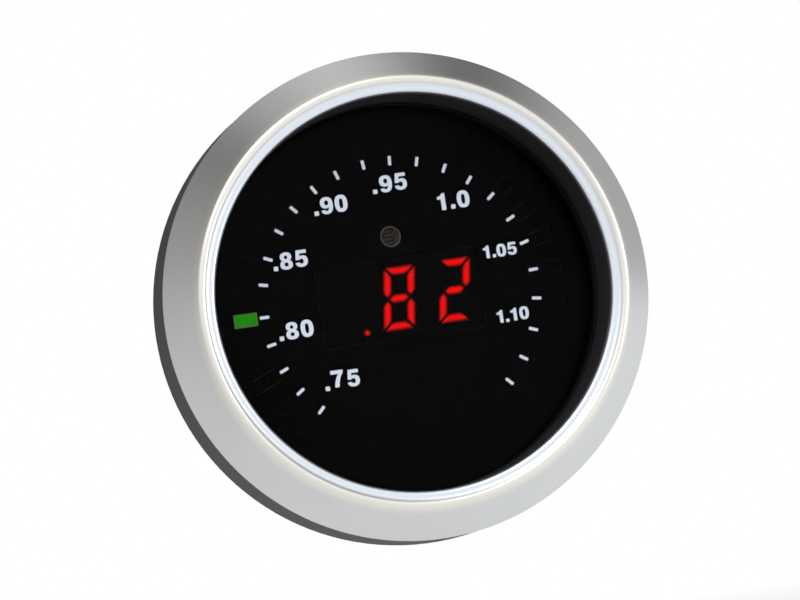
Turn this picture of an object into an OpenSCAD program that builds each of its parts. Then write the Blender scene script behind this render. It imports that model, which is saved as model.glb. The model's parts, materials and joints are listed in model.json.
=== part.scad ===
// Round panel gauge that reads an engine's air fuel ratio, for a 52 mm hole in a dashboard or pod.
// Every piece is drawn in a face frame: x to the right, y up and z out of the face, with the panel's
// front surface at z = 0. face_frame() stands that frame up, so the face looks along -Y.

/* [Head and bezel] */
// Diameter of the head where it meets the panel
head_d = 59.28; // [57:0.1:64]
// Length of the black skirt of the head
skirt_len = 10.5; // [8:0.1:14]
// How much the skirt's radius narrows towards the front
skirt_draft = 0.43; // [0:0.01:0.8]
// Wall of the skirt at its front edge
skirt_wall = 1.7; // [1.2:0.1:2.4]
// Height of the bezel's straight conical land
land_rise = 6.5; // [4:0.1:8]
// Diameter of the clear view between the bezel's lips
sight_d = 46.9; // [44:0.1:48]
// Radius of the roll at the bezel's lip
lip_roll_r = 0.55; // [0.4:0.01:0.7]
// Radius of the roll beside the land
land_roll_r = 0.6; // [0.4:0.01:0.75]
// Distance between the centres of the two rolls
roll_pitch = 1.08; // [0.9:0.01:1.3]
// How far the lip's roll lies behind the land's roll
roll_drop = 0.4; // [0.1:0.05:0.8]
// Thickness of the bezel's lip behind its rolls
lip_t = 0.95; // [0.7:0.05:1.3]
// Length of the threaded collar that the bezel turns on
collar_len = 4.1; // [3:0.1:5]
// Wall of the threaded collar
collar_wall = 1.3; // [1:0.05:1.8]

/* [Lens and dial] */
// Length of the black sleeve between the lip and the lens
sleeve_len = 7.45; // [5:0.05:9]
// Wall of the sleeve
sleeve_wall = 0.8; // [0.6:0.05:1.2]
// Thickness of the smoked lens
lens_t = 2; // [1.5:0.1:3]
// Thickness of the lens gasket
lens_gasket_t = 0.4; // [0.3:0.05:0.8]
// Height of the ring between the lens gasket and the dial
spacer_ring_h = 1.15; // [0.8:0.05:2]
// Thickness of the dial plate
dial_t = 1.2; // [0.8:0.1:1.6]
// Width of the display window in the dial
window_w = 19.9; // [18:0.1:22]
// Height of the display window in the dial
window_h = 10.1; // [9.4:0.1:11]
// Diameter of the light sensor's hole in the dial
sensor_hole_d = 2.7; // [2:0.1:3.6]
// Height of the light sensor's hole above the dial's centre
sensor_hole_y = 7.75; // [7.5:0.05:8.5]
// Diameter of the light sensor
photoresistor_d = 4; // [3:0.1:4.2]
// Thickness of the light sensor
photoresistor_t = 1.6; // [1:0.1:2]

/* [Light ring] */
// Number of lights round the dial
light_count = 24; // [12:1:26]
// Which of the lights is lit, counted from the low end
lit_light = 4; // [0:1:11]
// Angle of the first light, clockwise from the bottom
first_light_angle = 43.8; // [30:0.1:60]
// Angle between neighbouring lights
light_step = 11.7; // [10.5:0.1:12]
// Radius of the ring of lights
light_ring_r = 18.98; // [18.5:0.01:19.4]
// Length of a light's window along the radius
light_len = 3; // [2:0.1:3.4]
// Width of a light's window across the radius
light_w = 1.75; // [1.2:0.05:2.2]
// Wall of the ring that keeps the lights apart
baffle_wall = 0.8; // [0.5:0.1:1.1]

/* [Seven segment display] */
// Height of a digit
digit_h = 7.76; // [6:0.01:8]
// Width of a digit
digit_w = 4; // [3.4:0.05:4.4]
// Distance between digits
digit_pitch = 6.86; // [6:0.01:6.9]
// Thickness of a segment
segment_w = 1.1; // [0.7:0.05:1.2]
// Gap between the ends of two segments
segment_gap = 0.17; // [0.1:0.01:0.25]
// Lean of the digits
digit_slant = 8.4; // [0:0.1:10]
// Diameter of a decimal point
point_d = 0.8; // [0.6:0.05:0.9]
// How deep the display's face lies behind the dial's face
display_recess = 0.35; // [0.2:0.05:0.8]

/* [Barrel and cover] */
// Diameter of the register that centres the gauge in the panel
register_d = 52; // [51:0.1:53]
// Length of the register behind the panel's front
register_len = 5; // [3:0.5:8]
// How much smaller the radius of the barrel is behind the register
barrel_relief = 0.4; // [0.3:0.05:0.5]
// Wall of the barrel
barrel_wall = 1.7; // [1.3:0.1:2]
// Length of the barrel behind the panel's front
barrel_len = 24; // [23:0.5:32]
// Thickness of the gasket between the head and the panel
panel_gasket_t = 0.8; // [0.5:0.1:1.5]
// Thickness of the cover's seal
cover_seal_t = 0.5; // [0.3:0.1:1]
// Thickness of the rear cover
cover_t = 2; // [1.5:0.1:3]
// Radius on the cover's rear edge
cover_edge_r = 0.8; // [0.3:0.1:1.2]
// Distance of the cover's screws from the axis
cover_screw_ring_r = 21.3; // [20.8:0.1:21.6]
// Diameter of the cover's screws
cover_screw_d = 1.8; // [1.4:0.1:2]

/* [Boards] */
// Thickness of each circuit board
board_t = 1.6; // [1:0.1:2]
// Gap between the dial plate and the display board
dial_to_board = 5.6; // [4.6:0.1:7]
// Gap between the main board and the rear end of the barrel
board_end_gap = 5.3; // [4:0.1:7]
// Width across the flats of the spacers
spacer_af = 4; // [3.4:0.1:4.4]
// Distance of the spacers from the centre line
spacer_x = 7.5; // [7:0.1:8.5]
// Distance of the spacers above and below the axis
spacer_y = 10.5; // [10:0.1:11]
// Pitch of the pins in the display and the board link
pin_pitch = 2.54; // [2:0.01:2.54]

/* [Connectors] */
// Pitch of the connector pins
plug_pitch = 3; // [2.5:0.1:3.2]
// Pins in each column of the sensor connector
sensor_rows = 3; // [2:1:4]
// Pins in each column of the supply connector
power_rows = 2; // [2:1:3]
// Wall of the connector shrouds
shroud_wall = 1.3; // [1:0.1:1.5]
// Space between the outer pins and the shroud
shroud_margin = 2.15; // [1.8:0.05:2.2]
// Distance of the connectors from the axis
plug_x = 15.5; // [14.8:0.1:16]
// How far the connectors stand out of the cover
plug_reach = 7.5; // [6.5:0.1:9]
// Clear depth in front of the connector pins
plug_free_depth = 4.9; // [4.5:0.1:6]

/* [Clamp] */
// Diameter of the two studs
stud_d = 4; // [3.5:0.1:5]
// Distance between the two studs
stud_spacing = 34; // [32:0.5:35]
// How far the studs stand out of the cover
stud_reach = 13.5; // [13:0.5:18]
// Width of the clamp bracket
bracket_w = 16; // [12:0.5:17]
// Sheet thickness of the clamp bracket
bracket_t = 1.2; // [1:0.1:1.6]
// Distance of the bracket's feet behind the panel's front
bracket_stand_off = 6.5; // [6:0.1:9]
// Gap between the rear cover and the bracket's bar
bracket_bar_gap = 2.6; // [1.6:0.1:6]
// Inside radius of the bracket's bends
bracket_bend_r = 1.6; // [1:0.1:2.4]
// Thickness of the lock washers
washer_t = 1; // [0.6:0.1:1.4]
// Diameter of the thumb nuts
nut_d = 10; // [8:0.1:12]
// Thickness of the thumb nuts
nut_t = 5.5; // [4:0.1:6]
// Grooves round a thumb nut
nut_groove_count = 20; // [12:1:28]

/* [Clearances] */
// Gap at the seams between pieces that come apart
seam_gap = 0.1; // [0.05:0.01:0.2]
// Gap between the faces of the lens stack
stack_gap = 0.05; // [0.02:0.01:0.1]
// Play between a round piece and its bore
bore_play = 0.3; // [0.2:0.05:0.4]
// Running fit of the bezel's thread and the nuts' threads
thread_play = 0.05; // [0.03:0.01:0.08]
// Play round inserts, pins and light pipes
insert_play = 0.15; // [0.08:0.01:0.2]

/* [Hidden] */

// Smoothness of round forms, and the overrun of every cut
$fn = 96;
cut = 1;

// Levels along the axis, from the bezel down to the panel
head_r = head_d / 2;
land_foot_r = head_r - skirt_draft;
skirt_front_z = panel_gasket_t + skirt_len;
bezel_back_z = skirt_front_z + seam_gap;
land_top_z = bezel_back_z + land_rise;
lip_under_z = land_top_z - lip_t;
lip_roll_z = land_top_z - roll_drop;
lip_roll_ring_r = sight_d / 2 + lip_roll_r;
land_roll_ring_r = lip_roll_ring_r + roll_pitch;

// The stack behind the lip: sleeve, lens, gasket, ring and dial plate
sleeve_front_z = lip_under_z - stack_gap;
sleeve_back_z = sleeve_front_z - sleeve_len;
sleeve_in_r = sight_d / 2 + stack_gap;
sleeve_out_r = sleeve_in_r + sleeve_wall;
lens_front_z = sleeve_back_z - stack_gap;
lens_back_z = lens_front_z - lens_t;
lens_gasket_z = lens_back_z - stack_gap - lens_gasket_t;
dial_front_z = lens_gasket_z - spacer_ring_h;
dial_back_z = dial_front_z - dial_t;

// Collar, and the bores of the housing
collar_in_r = sleeve_out_r + bore_play;
collar_out_r = collar_in_r + collar_wall;
collar_front_z = bezel_back_z + collar_len;
register_r = register_d / 2;
barrel_r = register_r - barrel_relief;
barrel_in_r = barrel_r - barrel_wall;
dial_ledge_t = 1.5;
dial_ledge_w = 1.5;
dial_ledge_in_r = barrel_in_r - dial_ledge_w;
dial_key_r = 0.8;
dial_key_angle = 25;
core_floor_t = 2;
bezel_edge_r = 0.25;

// Boards, counted from the dial towards the rear
display_board_front_z = dial_back_z - dial_to_board;
display_board_back_z = display_board_front_z - board_t;
main_board_back_z = board_end_gap - barrel_len;
main_board_front_z = main_board_back_z + board_t;
spacer_len = display_board_back_z - main_board_front_z;
board_r = barrel_in_r - bore_play;
part_play = 0.1;

// Cover and its screws
cover_front_z = -barrel_len - cover_seal_t;
cover_back_z = cover_front_z - cover_t;
cover_spigot_len = 2;
cover_spigot_wall = 1.2;
cover_boss_r = 2.2;
cover_boss_len = 11;
cover_boss_pilot_len = 7;
screw_head_share = 1.9;
screw_head_h = 1.2;
screw_cross_w = 0.4;
screw_cross_depth = 0.6;
screw_point_gap = 0.5;
corner_angles = [45, 135, 225, 315];

// Connectors
plug_columns = 2;
plug_pin_w = 0.64;
plug_end_z = cover_back_z - plug_reach;
plug_pin_end_z = plug_end_z + plug_free_depth;
plug_floor_z = cover_back_z;
plug_latch_w = 3;
plug_latch_h = 1.1;
plug_latch_len = 1.6;
plug_key_w = 1.2;
plug_key_h = 0.45;

// Clamp
stud_y = stud_spacing / 2;
stud_r = stud_d / 2;
stud_end_z = cover_back_z - stud_reach;
stud_boss_r = stud_r + cover_t;
stud_boss_h = 1;
stud_head_t = 1.8;
stud_head_af = 7;
stud_tip = 0.5;
bracket_foot_z = -bracket_stand_off;
bracket_bar_z = cover_back_z - bracket_bar_gap;
bracket_leg = bracket_foot_z - bracket_bar_z;
bracket_back_z = bracket_bar_z - bracket_t;
bracket_in = barrel_r + bore_play;
bracket_out = bracket_in + bracket_t;
bracket_notch_r = bracket_w / 6;
washer_back_z = bracket_back_z - washer_t;
washer_r = stud_r + 1.8 * bracket_t;
washer_split_w = 0.5;
nut_hub_r = washer_r;
nut_hub_t = nut_t / 4;
nut_groove_r = 0.45;
nut_chamfer = 0.5;

// Display
display_x = -0.15;
display_y = 0.2;
display_front_z = dial_front_z - display_recess;
display_foot = 0.4;
display_back_z = display_board_front_z + display_foot;
display_w = window_w - 2 * insert_play;
display_h = window_h - 2 * insert_play;
segment_depth = 0.6;
segment_play = 0.04;
digit_count = 3;
segment_blunt = 0.14;
point_shift_x = 0.42 * digit_pitch;
point_drop = 0.29;
display_pin_rows = 2;
display_pin_count = 6;
display_pin_row_y = 3.8;
display_pin_r = 0.25;
pin_tail = 1;

// Names of the seven segments in the order of segment_outline(), and which ones each digit lights
lit_shares = [
    [0, 0, 0, 0, 0, 0, 0],
    [1, 1, 1, 1, 1, 1, 1],
    [1, 1, 0, 1, 1, 0, 1]];
lit_points = [1, 0, 0];

// Lights
pipe_front_z = dial_front_z - stack_gap;
chip_l = 2;
chip_w = 1.25;
chip_base_h = 0.5;
chip_h = 0.8;
baffle_in_r = light_ring_r - light_len / 2 - insert_play - baffle_wall;
baffle_out_r = light_ring_r + light_len / 2 + insert_play + baffle_wall;

// Parts on the boards, as [x, y] places and [x, y, z] sizes
micro_at = [-7, 0];
micro_size = [7, 7, 1.4];
micro_lead_count = 6;
controller_at = [5.6, 0.4];
controller_size = [7.5, 10.3, 2.3];
controller_lead_count = 9;
regulator_at = [15.6, 4.2];
regulator_size = [6.5, 6.1, 2.3];
inductor_at = [15.4, -6];
inductor_size = [7.4, 7.4, 4.5];
inductor_core_r = 2.6;
crystal_at = [0, 14.6];
crystal_size = [9.6, 3.6, 3.4];
driver_size = [9.9, 4.6, 1.7];
driver_lead_count = 9;
capacitor_at = [[-17.6, 5.2], [-17.6, -5.2]];
capacitor_r = 4;
capacitor_h = 10.2;
capacitor_groove = 0.3;
capacitor_groove_z = 1.6;
lead_w = 0.35;
lead_t = 0.2;
lead_reach = 0.9;
lead_pitch = 1;
part_lift = 0.1;
link_at = [0, -16.4];
link_count = 6;
link_rows = 2;
link_body_h = 2.5;
link_socket_h = spacer_len - link_body_h - bore_play;
link_pin_r = 0.3;
link_hole_r = 0.5;
link_overlap = 5;
spacer_screw_r = 0.9;
spacer_screw_len = 4;
sensor_lead_r = 0.22;
sensor_lead_pitch = 2.2;

// Frame and small helpers
module face_frame() {
    rotate([90, 0, 0]) children();
}

// A ring or disc of the section between two radii and two levels
module ring(out_r, in_r, z0, z1) {
    translate([0, 0, z0])
        linear_extrude(z1 - z0)
            difference() {
                circle(out_r);
                if (in_r > 0) circle(in_r);
            }
}

module rod(at, r, z0, z1) {
    translate([at[0], at[1], z0]) cylinder(h = z1 - z0, r = r, $fn = 48);
}

// A box centred on a place, from one level up by its own height
module block(at, size, z0) {
    translate([at[0] - size[0] / 2, at[1] - size[1] / 2, z0]) cube(size);
}

function light_angle(i) = first_light_angle + i * light_step;

// Places its children at a light's window, with x along the radius
module at_light(i) {
    rotate(-90 - light_angle(i)) translate([light_ring_r, 0, 0]) children();
}

module light_windows(play) {
    for (i = [0 : light_count - 1])
        at_light(i)
            square([light_len + 2 * play, light_w + 2 * play], center = true);
}

module at_spacers() {
    for (x = [-1, 1], y = [-1, 1]) translate([x * spacer_x, y * spacer_y, 0]) children();
}

module at_cover_screws() {
    for (a = corner_angles) rotate(a) translate([cover_screw_ring_r, 0, 0]) children();
}

// A pan head screw with a cross recess, its head's seat at z = 0 and its shank along +z
module pan_screw(d, len) {
    head_r = d / 2 * screw_head_share;
    cylinder(h = len, r = d / 2, $fn = 32);
    difference() {
        translate([0, 0, -screw_head_h]) {
            translate([0, 0, screw_head_h / 3])
                cylinder(h = screw_head_h * 2 / 3, r = head_r, $fn = 48);
            cylinder(h = screw_head_h / 3, r1 = head_r * 3 / 4, r2 = head_r, $fn = 48);
        }
        for (a = [0, 90])
            rotate(a)
                translate([-head_r * 3 / 5, -screw_cross_w / 2, -screw_head_h - cut])
                    cube([head_r * 6 / 5, screw_cross_w, screw_cross_depth + cut]);
    }
}

// Housing: skirt, flange, threaded collar, dial ledge and barrel in one black moulding
module housing() {
    core_in_r = collar_out_r;
    core_out_r = land_foot_r - skirt_wall;
    floor_z = panel_gasket_t + core_floor_t;
    ledge_z = dial_back_z - dial_ledge_t;
    color("#232326")
    face_frame()
    difference() {
        union() {
            rotate_extrude()
                polygon([
                    [barrel_in_r, -barrel_len], [barrel_r, -barrel_len],
                    [barrel_r, -register_len], [register_r, -register_len],
                    [register_r, 0], [barrel_r, 0],
                    [barrel_r, panel_gasket_t], [head_r, panel_gasket_t],
                    [land_foot_r, skirt_front_z], [core_out_r, skirt_front_z],
                    [core_out_r, floor_z], [core_in_r, floor_z],
                    [core_in_r, collar_front_z - bezel_edge_r],
                    [core_in_r - bezel_edge_r, collar_front_z],
                    [collar_in_r, collar_front_z], [collar_in_r, dial_back_z],
                    [dial_ledge_in_r, dial_back_z], [dial_ledge_in_r, ledge_z],
                    [barrel_in_r, ledge_z - dial_ledge_w]]);
            at_cover_screws()
                screw_boss(0, -barrel_len, cover_boss_len - barrel_len);
            dial_keys(dial_key_r, dial_back_z - dial_ledge_t, dial_front_z);
        }
        at_cover_screws()
            rod([0, 0], cover_screw_d / 2 + part_play, -barrel_len - cut,
                cover_boss_pilot_len - barrel_len);
    }
}

// Boss that takes a cover screw, with the web that ties it to the barrel, or the room for it
module screw_boss(play, z0, z1) {
    web_w = cover_boss_r + 2 * play;
    rod([0, 0], cover_boss_r + play, z0, z1);
    translate([0, -web_w / 2, z0])
        cube([barrel_in_r + barrel_wall / 2 - cover_screw_ring_r, web_w, z1 - z0]);
}

// Two small keys beside the bottom of the dial that stop the dial plate from turning
module dial_keys(r, z0, z1) {
    for (a = [-90 - dial_key_angle, -90 + dial_key_angle])
        rotate(a) rod([collar_in_r, 0], r, z0, z1);
}

module panel_gasket() {
    color("#111111")
    face_frame()
    ring(head_r - bore_play, register_r + insert_play, 0, panel_gasket_t);
}

// Rear cover with its spigot, the mouths of both connectors and the bosses of both studs
module rear_cover() {
    spigot_r = barrel_in_r - part_play;
    color("#26262a")
    face_frame()
    difference() {
        union() {
            rotate_extrude()
                polygon(concat(
                    [[0, cover_front_z], [0, cover_back_z]],
                    [for (a = [-90 : 15 : 0])
                        [barrel_r - cover_edge_r + cover_edge_r * cos(a),
                            cover_back_z + cover_edge_r + cover_edge_r * sin(a)]],
                    [[barrel_r, cover_front_z]]));
            difference() {
                ring(spigot_r, spigot_r - cover_spigot_wall, cover_front_z - cover_t / 2,
                    cover_front_z + cover_seal_t + cover_spigot_len);
                at_cover_screws()
                    screw_boss(bore_play, cover_front_z,
                        cover_front_z + cover_seal_t + cover_spigot_len + cut);
            }
            for (y = [-stud_y, stud_y])
                translate([0, y, cover_back_z - stud_boss_h])
                    cylinder(h = stud_boss_h + cover_t / 2, r1 = stud_boss_r - stud_boss_h / 3,
                        r2 = stud_boss_r);
        }
        for (y = [-stud_y, stud_y])
            rod([0, y], stud_r + thread_play, cover_back_z - stud_boss_h - cut, cover_front_z + cut);
        at_cover_screws()
            rod([0, 0], cover_screw_d / 2 + insert_play, cover_back_z - cut, cover_front_z + cut);
        for (p = [[-plug_x, sensor_rows], [plug_x, power_rows]])
            block([p[0], 0], shroud_size(p[1], 2 * insert_play, cover_t + 2 * cut),
                cover_back_z - cut);
    }
}

module cover_seal() {
    color("#0d0d0d")
    face_frame()
    ring(barrel_r - part_play, barrel_in_r + part_play, cover_front_z, -barrel_len);
}

module cover_screws() {
    len = cover_t + cover_seal_t + cover_boss_pilot_len - screw_point_gap;
    color("#8a8c90")
    face_frame()
    translate([0, 0, cover_back_z])
        at_cover_screws() pan_screw(cover_screw_d, len);
}

// Two studs, each with a hexagonal head inside the cover
module bracket_studs() {
    color("#b9babd")
    face_frame()
    for (y = [-stud_y, stud_y])
        translate([0, y, 0]) {
            rod([0, 0], stud_r, stud_end_z + stud_tip, cover_front_z);
            translate([0, 0, stud_end_z])
                cylinder(h = stud_tip, r1 = stud_r - stud_tip, r2 = stud_r, $fn = 48);
            translate([0, 0, cover_front_z])
                cylinder(h = stud_head_t, d = stud_head_af / cos(30), $fn = 6);
        }
}

function shroud_size(rows, extra, len) = [
    (plug_columns - 1) * plug_pitch + 2 * (shroud_margin + shroud_wall) + extra,
    (rows - 1) * plug_pitch + 2 * (shroud_margin + shroud_wall) + extra,
    len];

// Connector shroud with a closed floor, a keying rib inside and a latch ramp outside
module shroud(rows, side) {
    outer = shroud_size(rows, 0, main_board_back_z - plug_end_z);
    inner = shroud_size(rows, -2 * shroud_wall, plug_floor_z - plug_end_z + cut);
    difference() {
        union() {
            block([0, 0], outer, plug_end_z);
            translate([side * outer[0] / 2, plug_latch_w / 2, plug_end_z + plug_latch_len])
                rotate([90, 0, 0])
                    linear_extrude(plug_latch_w)
                        polygon([[0, 0], [side * plug_latch_h, plug_latch_h], [side * plug_latch_h,
                            plug_latch_len], [0, plug_latch_len]]);
        }
        block([0, 0], inner, plug_end_z - cut);
    }
    for (y = [-1, 1])
        translate([-side * (inner[0] / 2 + shroud_wall / 2), y * inner[1] / 4, plug_end_z])
            translate([min(0, side * (plug_key_h + shroud_wall / 2)), -plug_key_w / 2, 0])
                cube([plug_key_h + shroud_wall / 2, plug_key_w, plug_floor_z - plug_end_z]);
}

module plug_pins(rows) {
    for (x = [-1, 1], i = [0 : rows - 1])
        translate([x * plug_pitch / 2, (i - (rows - 1) / 2) * plug_pitch, 0])
            block([0, 0], [plug_pin_w, plug_pin_w, plug_floor_z - plug_pin_end_z], plug_pin_end_z);
}

module sensor_connector() {
    color("#1a1a1c")
    face_frame()
    translate([-plug_x, 0, 0]) shroud(sensor_rows, -1);
}

module sensor_pins() {
    color("#c9a64a")
    face_frame()
    translate([-plug_x, 0, 0]) plug_pins(sensor_rows);
}

module power_connector() {
    color("#1a1a1c")
    face_frame()
    translate([plug_x, 0, 0]) shroud(power_rows, 1);
}

module power_pins() {
    color("#c9a64a")
    face_frame()
    translate([plug_x, 0, 0]) plug_pins(power_rows);
}

// Main board, notched for the cover's screw bosses
module main_board() {
    color("#1f5a36")
    face_frame()
    difference() {
        ring(board_r, 0, main_board_back_z, main_board_front_z);
        at_cover_screws()
            screw_boss(bore_play, main_board_back_z - cut, main_board_front_z + cut);
        at_spacers() rod([0, 0], spacer_screw_r + part_play, main_board_back_z - cut,
            main_board_front_z + cut);
    }
}

// A chip with rows of bent leads along the sides at +x and -x, or along all four sides
module chip(size, leads, all_sides) {
    sides = all_sides ? [0, 90, 180, 270] : [0, 180];
    translate([0, 0, part_lift]) block([0, 0], size, 0);
    for (a = sides)
        rotate(a)
            for (i = [0 : leads - 1])
                translate([size[0] / 2, (i - (leads - 1) / 2) * lead_pitch - lead_w / 2, 0]) {
                    translate([-lead_t, 0, size[2] / 2]) cube([lead_reach / 2 + lead_t, lead_w,
                        lead_t]);
                    translate([lead_reach / 2 - lead_t, 0, 0]) cube([lead_t, lead_w,
                        size[2] / 2 + lead_t]);
                    translate([lead_reach / 2 - lead_t, 0, 0]) cube([lead_reach / 2 + lead_t,
                        lead_w, lead_t]);
                }
}

module microcontroller() {
    color("#1b1b1d")
    face_frame()
    translate([micro_at[0], micro_at[1], main_board_front_z]) chip(micro_size, micro_lead_count, true);
}

module sensor_controller() {
    color("#1b1b1d")
    face_frame()
    translate([controller_at[0], controller_at[1], main_board_front_z])
        chip(controller_size, controller_lead_count, false);
}

module display_driver() {
    color("#1b1b1d")
    face_frame()
    translate([display_x, display_y, display_board_back_z])
        mirror([0, 0, 1])
            rotate(90)
                chip([driver_size[1], driver_size[0], driver_size[2]], driver_lead_count, false);
}

module supply_capacitors() {
    color("#2b3a55")
    face_frame()
    for (p = capacitor_at)
        translate([p[0], p[1], main_board_front_z])
            rotate_extrude()
                polygon([[0, 0], [capacitor_r, 0], [capacitor_r, capacitor_groove_z],
                    [capacitor_r - capacitor_groove, capacitor_groove_z + capacitor_groove],
                    [capacitor_r, capacitor_groove_z + 2 * capacitor_groove],
                    [capacitor_r, capacitor_h - capacitor_groove],
                    [capacitor_r - capacitor_groove, capacitor_h], [0, capacitor_h]]);
}

module power_inductor() {
    color("#4a4a4a")
    face_frame()
    translate([inductor_at[0], inductor_at[1], main_board_front_z]) {
        flange_t = inductor_size[2] / 4;
        block([0, 0], [inductor_size[0], inductor_size[1], flange_t], 0);
        rod([0, 0], inductor_core_r, 0, inductor_size[2]);
        rod([0, 0], inductor_size[0] / 2, inductor_size[2] - flange_t, inductor_size[2]);
    }
}

module crystal() {
    color("#c4c6c8")
    face_frame()
    translate([crystal_at[0], crystal_at[1], main_board_front_z])
        linear_extrude(crystal_size[2])
            union() {
                square([crystal_size[0] - crystal_size[1], crystal_size[1]], center = true);
                for (x = [-1, 1])
                    translate([x * (crystal_size[0] - crystal_size[1]) / 2, 0])
                        circle(d = crystal_size[1]);
            }
}

module voltage_regulator() {
    color("#1c1c1e")
    face_frame()
    translate([regulator_at[0], regulator_at[1], main_board_front_z]) {
        block([0, 0], regulator_size, 0);
        block([0, regulator_size[1] / 2 + lead_reach / 2],
            [regulator_size[0] * 4 / 5, lead_reach, lead_t], 0);
        for (x = [-1, 1])
            block([x * regulator_size[0] / 3, -regulator_size[1] / 2 - lead_reach / 2],
                [2 * lead_w, lead_reach, lead_t], 0);
    }
}

module at_link_pins() {
    for (i = [0 : link_count - 1], j = [0 : link_rows - 1])
        translate([link_at[0] + (i - (link_count - 1) / 2) * pin_pitch,
            link_at[1] + (j - (link_rows - 1) / 2) * pin_pitch, 0])
            children();
}

module link_socket() {
    color("#161616")
    face_frame()
    difference() {
        block(link_at, [link_count * pin_pitch, link_rows * pin_pitch, link_socket_h],
            main_board_front_z);
        at_link_pins()
            rod([0, 0], link_hole_r, main_board_front_z + link_socket_h - link_overlap - cut,
                main_board_front_z + link_socket_h + cut);
    }
}

module link_pins() {
    color("#c9a64a")
    face_frame() {
        block(link_at, [link_count * pin_pitch, link_rows * pin_pitch, link_body_h],
            display_board_back_z - link_body_h);
        at_link_pins()
            rod([0, 0], link_pin_r, main_board_front_z + link_socket_h - link_overlap,
                display_board_back_z - link_body_h);
    }
}

// Hexagonal spacers that hold the two boards apart, tapped at both ends
module board_spacers() {
    color("#c2a050")
    face_frame()
    at_spacers()
        difference() {
            translate([0, 0, main_board_front_z])
                cylinder(h = spacer_len, d = spacer_af / cos(30), $fn = 6);
            rod([0, 0], spacer_screw_r + part_play, main_board_front_z - cut,
                main_board_front_z + spacer_screw_len + part_play);
            rod([0, 0], spacer_screw_r + part_play,
                display_board_back_z - spacer_screw_len - part_play, display_board_back_z + cut);
        }
}

module spacer_screws() {
    color("#9a9ca0")
    face_frame()
    at_spacers() {
        translate([0, 0, main_board_back_z])
            pan_screw(2 * spacer_screw_r, board_t + spacer_screw_len);
        translate([0, 0, display_board_front_z])
            mirror([0, 0, 1]) pan_screw(2 * spacer_screw_r, board_t + spacer_screw_len);
    }
}

module at_display_pins() {
    for (i = [0 : display_pin_count - 1], y = [-1, 1])
        translate([display_x + (i - (display_pin_count - 1) / 2) * pin_pitch,
            display_y + y * display_pin_row_y, 0])
            children();
}

// Display board, drilled for the display's pins, the light sensor's leads and the spacers' screws
module display_board() {
    color("#1f5a36")
    face_frame()
    difference() {
        ring(board_r, 0, display_board_back_z, display_board_front_z);
        at_display_pins()
            rod([0, 0], display_pin_r + insert_play, display_board_back_z - cut,
                display_board_front_z + cut);
        at_sensor_leads()
            rod([0, 0], sensor_lead_r + insert_play, display_board_back_z - cut,
                display_board_front_z + cut);
        at_spacers()
            rod([0, 0], spacer_screw_r + part_play, display_board_back_z - cut,
                display_board_front_z + cut);
    }
}

// Outline of segment s of a digit: top, upper right, lower right, bottom, lower left, upper left
// and middle. The bars are mitred at the digit's corners and pointed at its waist, and the whole
// digit leans to the right.
function lean(p) = [p[0] + p[1] * tan(digit_slant), p[1]];

function corner_end(len) =
    let (t = segment_w / 2, reach = len / 2 + t - segment_gap - segment_blunt)
    [[reach, t], [reach, t - segment_blunt], [len / 2 - t - segment_gap, -t]];

function pointed_end(len) =
    let (t = segment_w / 2, reach = len / 2 - segment_gap)
    [[reach - t, t], [reach, 0], [reach - t, -t]];

function bar(near, far) = concat(far, [for (i = [2 : -1 : 0]) [-near[i][0], near[i][1]]]);

function set_bar(shape, c, side, up, upright) =
    [for (p = shape)
        lean(upright ? [c[0] + side * p[1], c[1] + up * p[0]] : [c[0] + p[0], c[1] + up * p[1]])];

function segment_outline(s) =
    let (across = digit_w - segment_w, along = (digit_h - segment_w) / 2,
        side = s == 1 || s == 2 ? 1 : -1, up = s == 0 || s == 1 || s == 5 || s == 6 ? 1 : -1)
    s == 6 ? set_bar(bar(pointed_end(across), pointed_end(across)), [0, 0], 1, up, false) :
    s == 0 || s == 3 ?
        set_bar(bar(corner_end(across), corner_end(across)), [0, up * along], 1, up, false) :
        set_bar(bar(pointed_end(along), corner_end(along)), [side * across / 2, up * along / 2],
            side, up, true);

function digit_x(d) = display_x + (d - (digit_count - 1) / 2) * digit_pitch;

function point_place(d) =
    let (foot = lean([point_shift_x, (segment_w - digit_h) / 2 - point_drop]))
    [digit_x(d) + foot[0], display_y + foot[1]];

// Draws the segments and points that are lit, or those that are dark, with a margin round them
module segments(lit, depth, play) {
    translate([0, 0, display_front_z - depth])
        for (d = [0 : digit_count - 1]) {
            for (s = [0 : 6])
                if (lit_shares[d][s] == lit || play > 0)
                    translate([digit_x(d), display_y, 0])
                        linear_extrude(depth + (play > 0 ? cut : 0)) polygon(segment_outline(s));
            if (lit_points[d] == lit || play > 0)
                rod(point_place(d), point_d / 2 + play, 0, depth + (play > 0 ? cut : 0));
        }
}

module display_module() {
    color("#0b0b0c")
    face_frame()
    difference() {
        union() {
            block([display_x, display_y],
                [display_w, display_h, display_front_z - display_back_z], display_back_z);
            for (x = [-1, 1], y = [-1, 1])
                block([display_x + x * (display_w - segment_w) / 2,
                    display_y + y * (display_h - segment_w) / 2],
                    [segment_w, segment_w, 2 * display_foot], display_board_front_z);
        }
        segments(1, segment_depth, segment_play);
    }
}

module display_pins() {
    color("#c8cacc")
    face_frame()
    at_display_pins()
        rod([0, 0], display_pin_r, display_board_back_z - pin_tail, display_back_z);
}

module lit_segments() {
    color("#ff1a10")
    face_frame() segments(1, segment_depth, 0);
}

module dark_segments() {
    color("#1a0606")
    face_frame() segments(0, segment_depth, 0);
}

module photoresistor() {
    top = dial_back_z - part_play;
    color("#b9a58c")
    face_frame()
    rod([0, sensor_hole_y], photoresistor_d / 2, top - photoresistor_t, top);
}

module at_sensor_leads() {
    for (x = [-1, 1]) translate([x * sensor_lead_pitch / 2, sensor_hole_y, 0]) children();
}

module photoresistor_leads() {
    color("#c8cacc")
    face_frame()
    at_sensor_leads()
        rod([0, 0], sensor_lead_r, display_board_back_z - pin_tail,
            dial_back_z - part_play - photoresistor_t);
}

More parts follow.
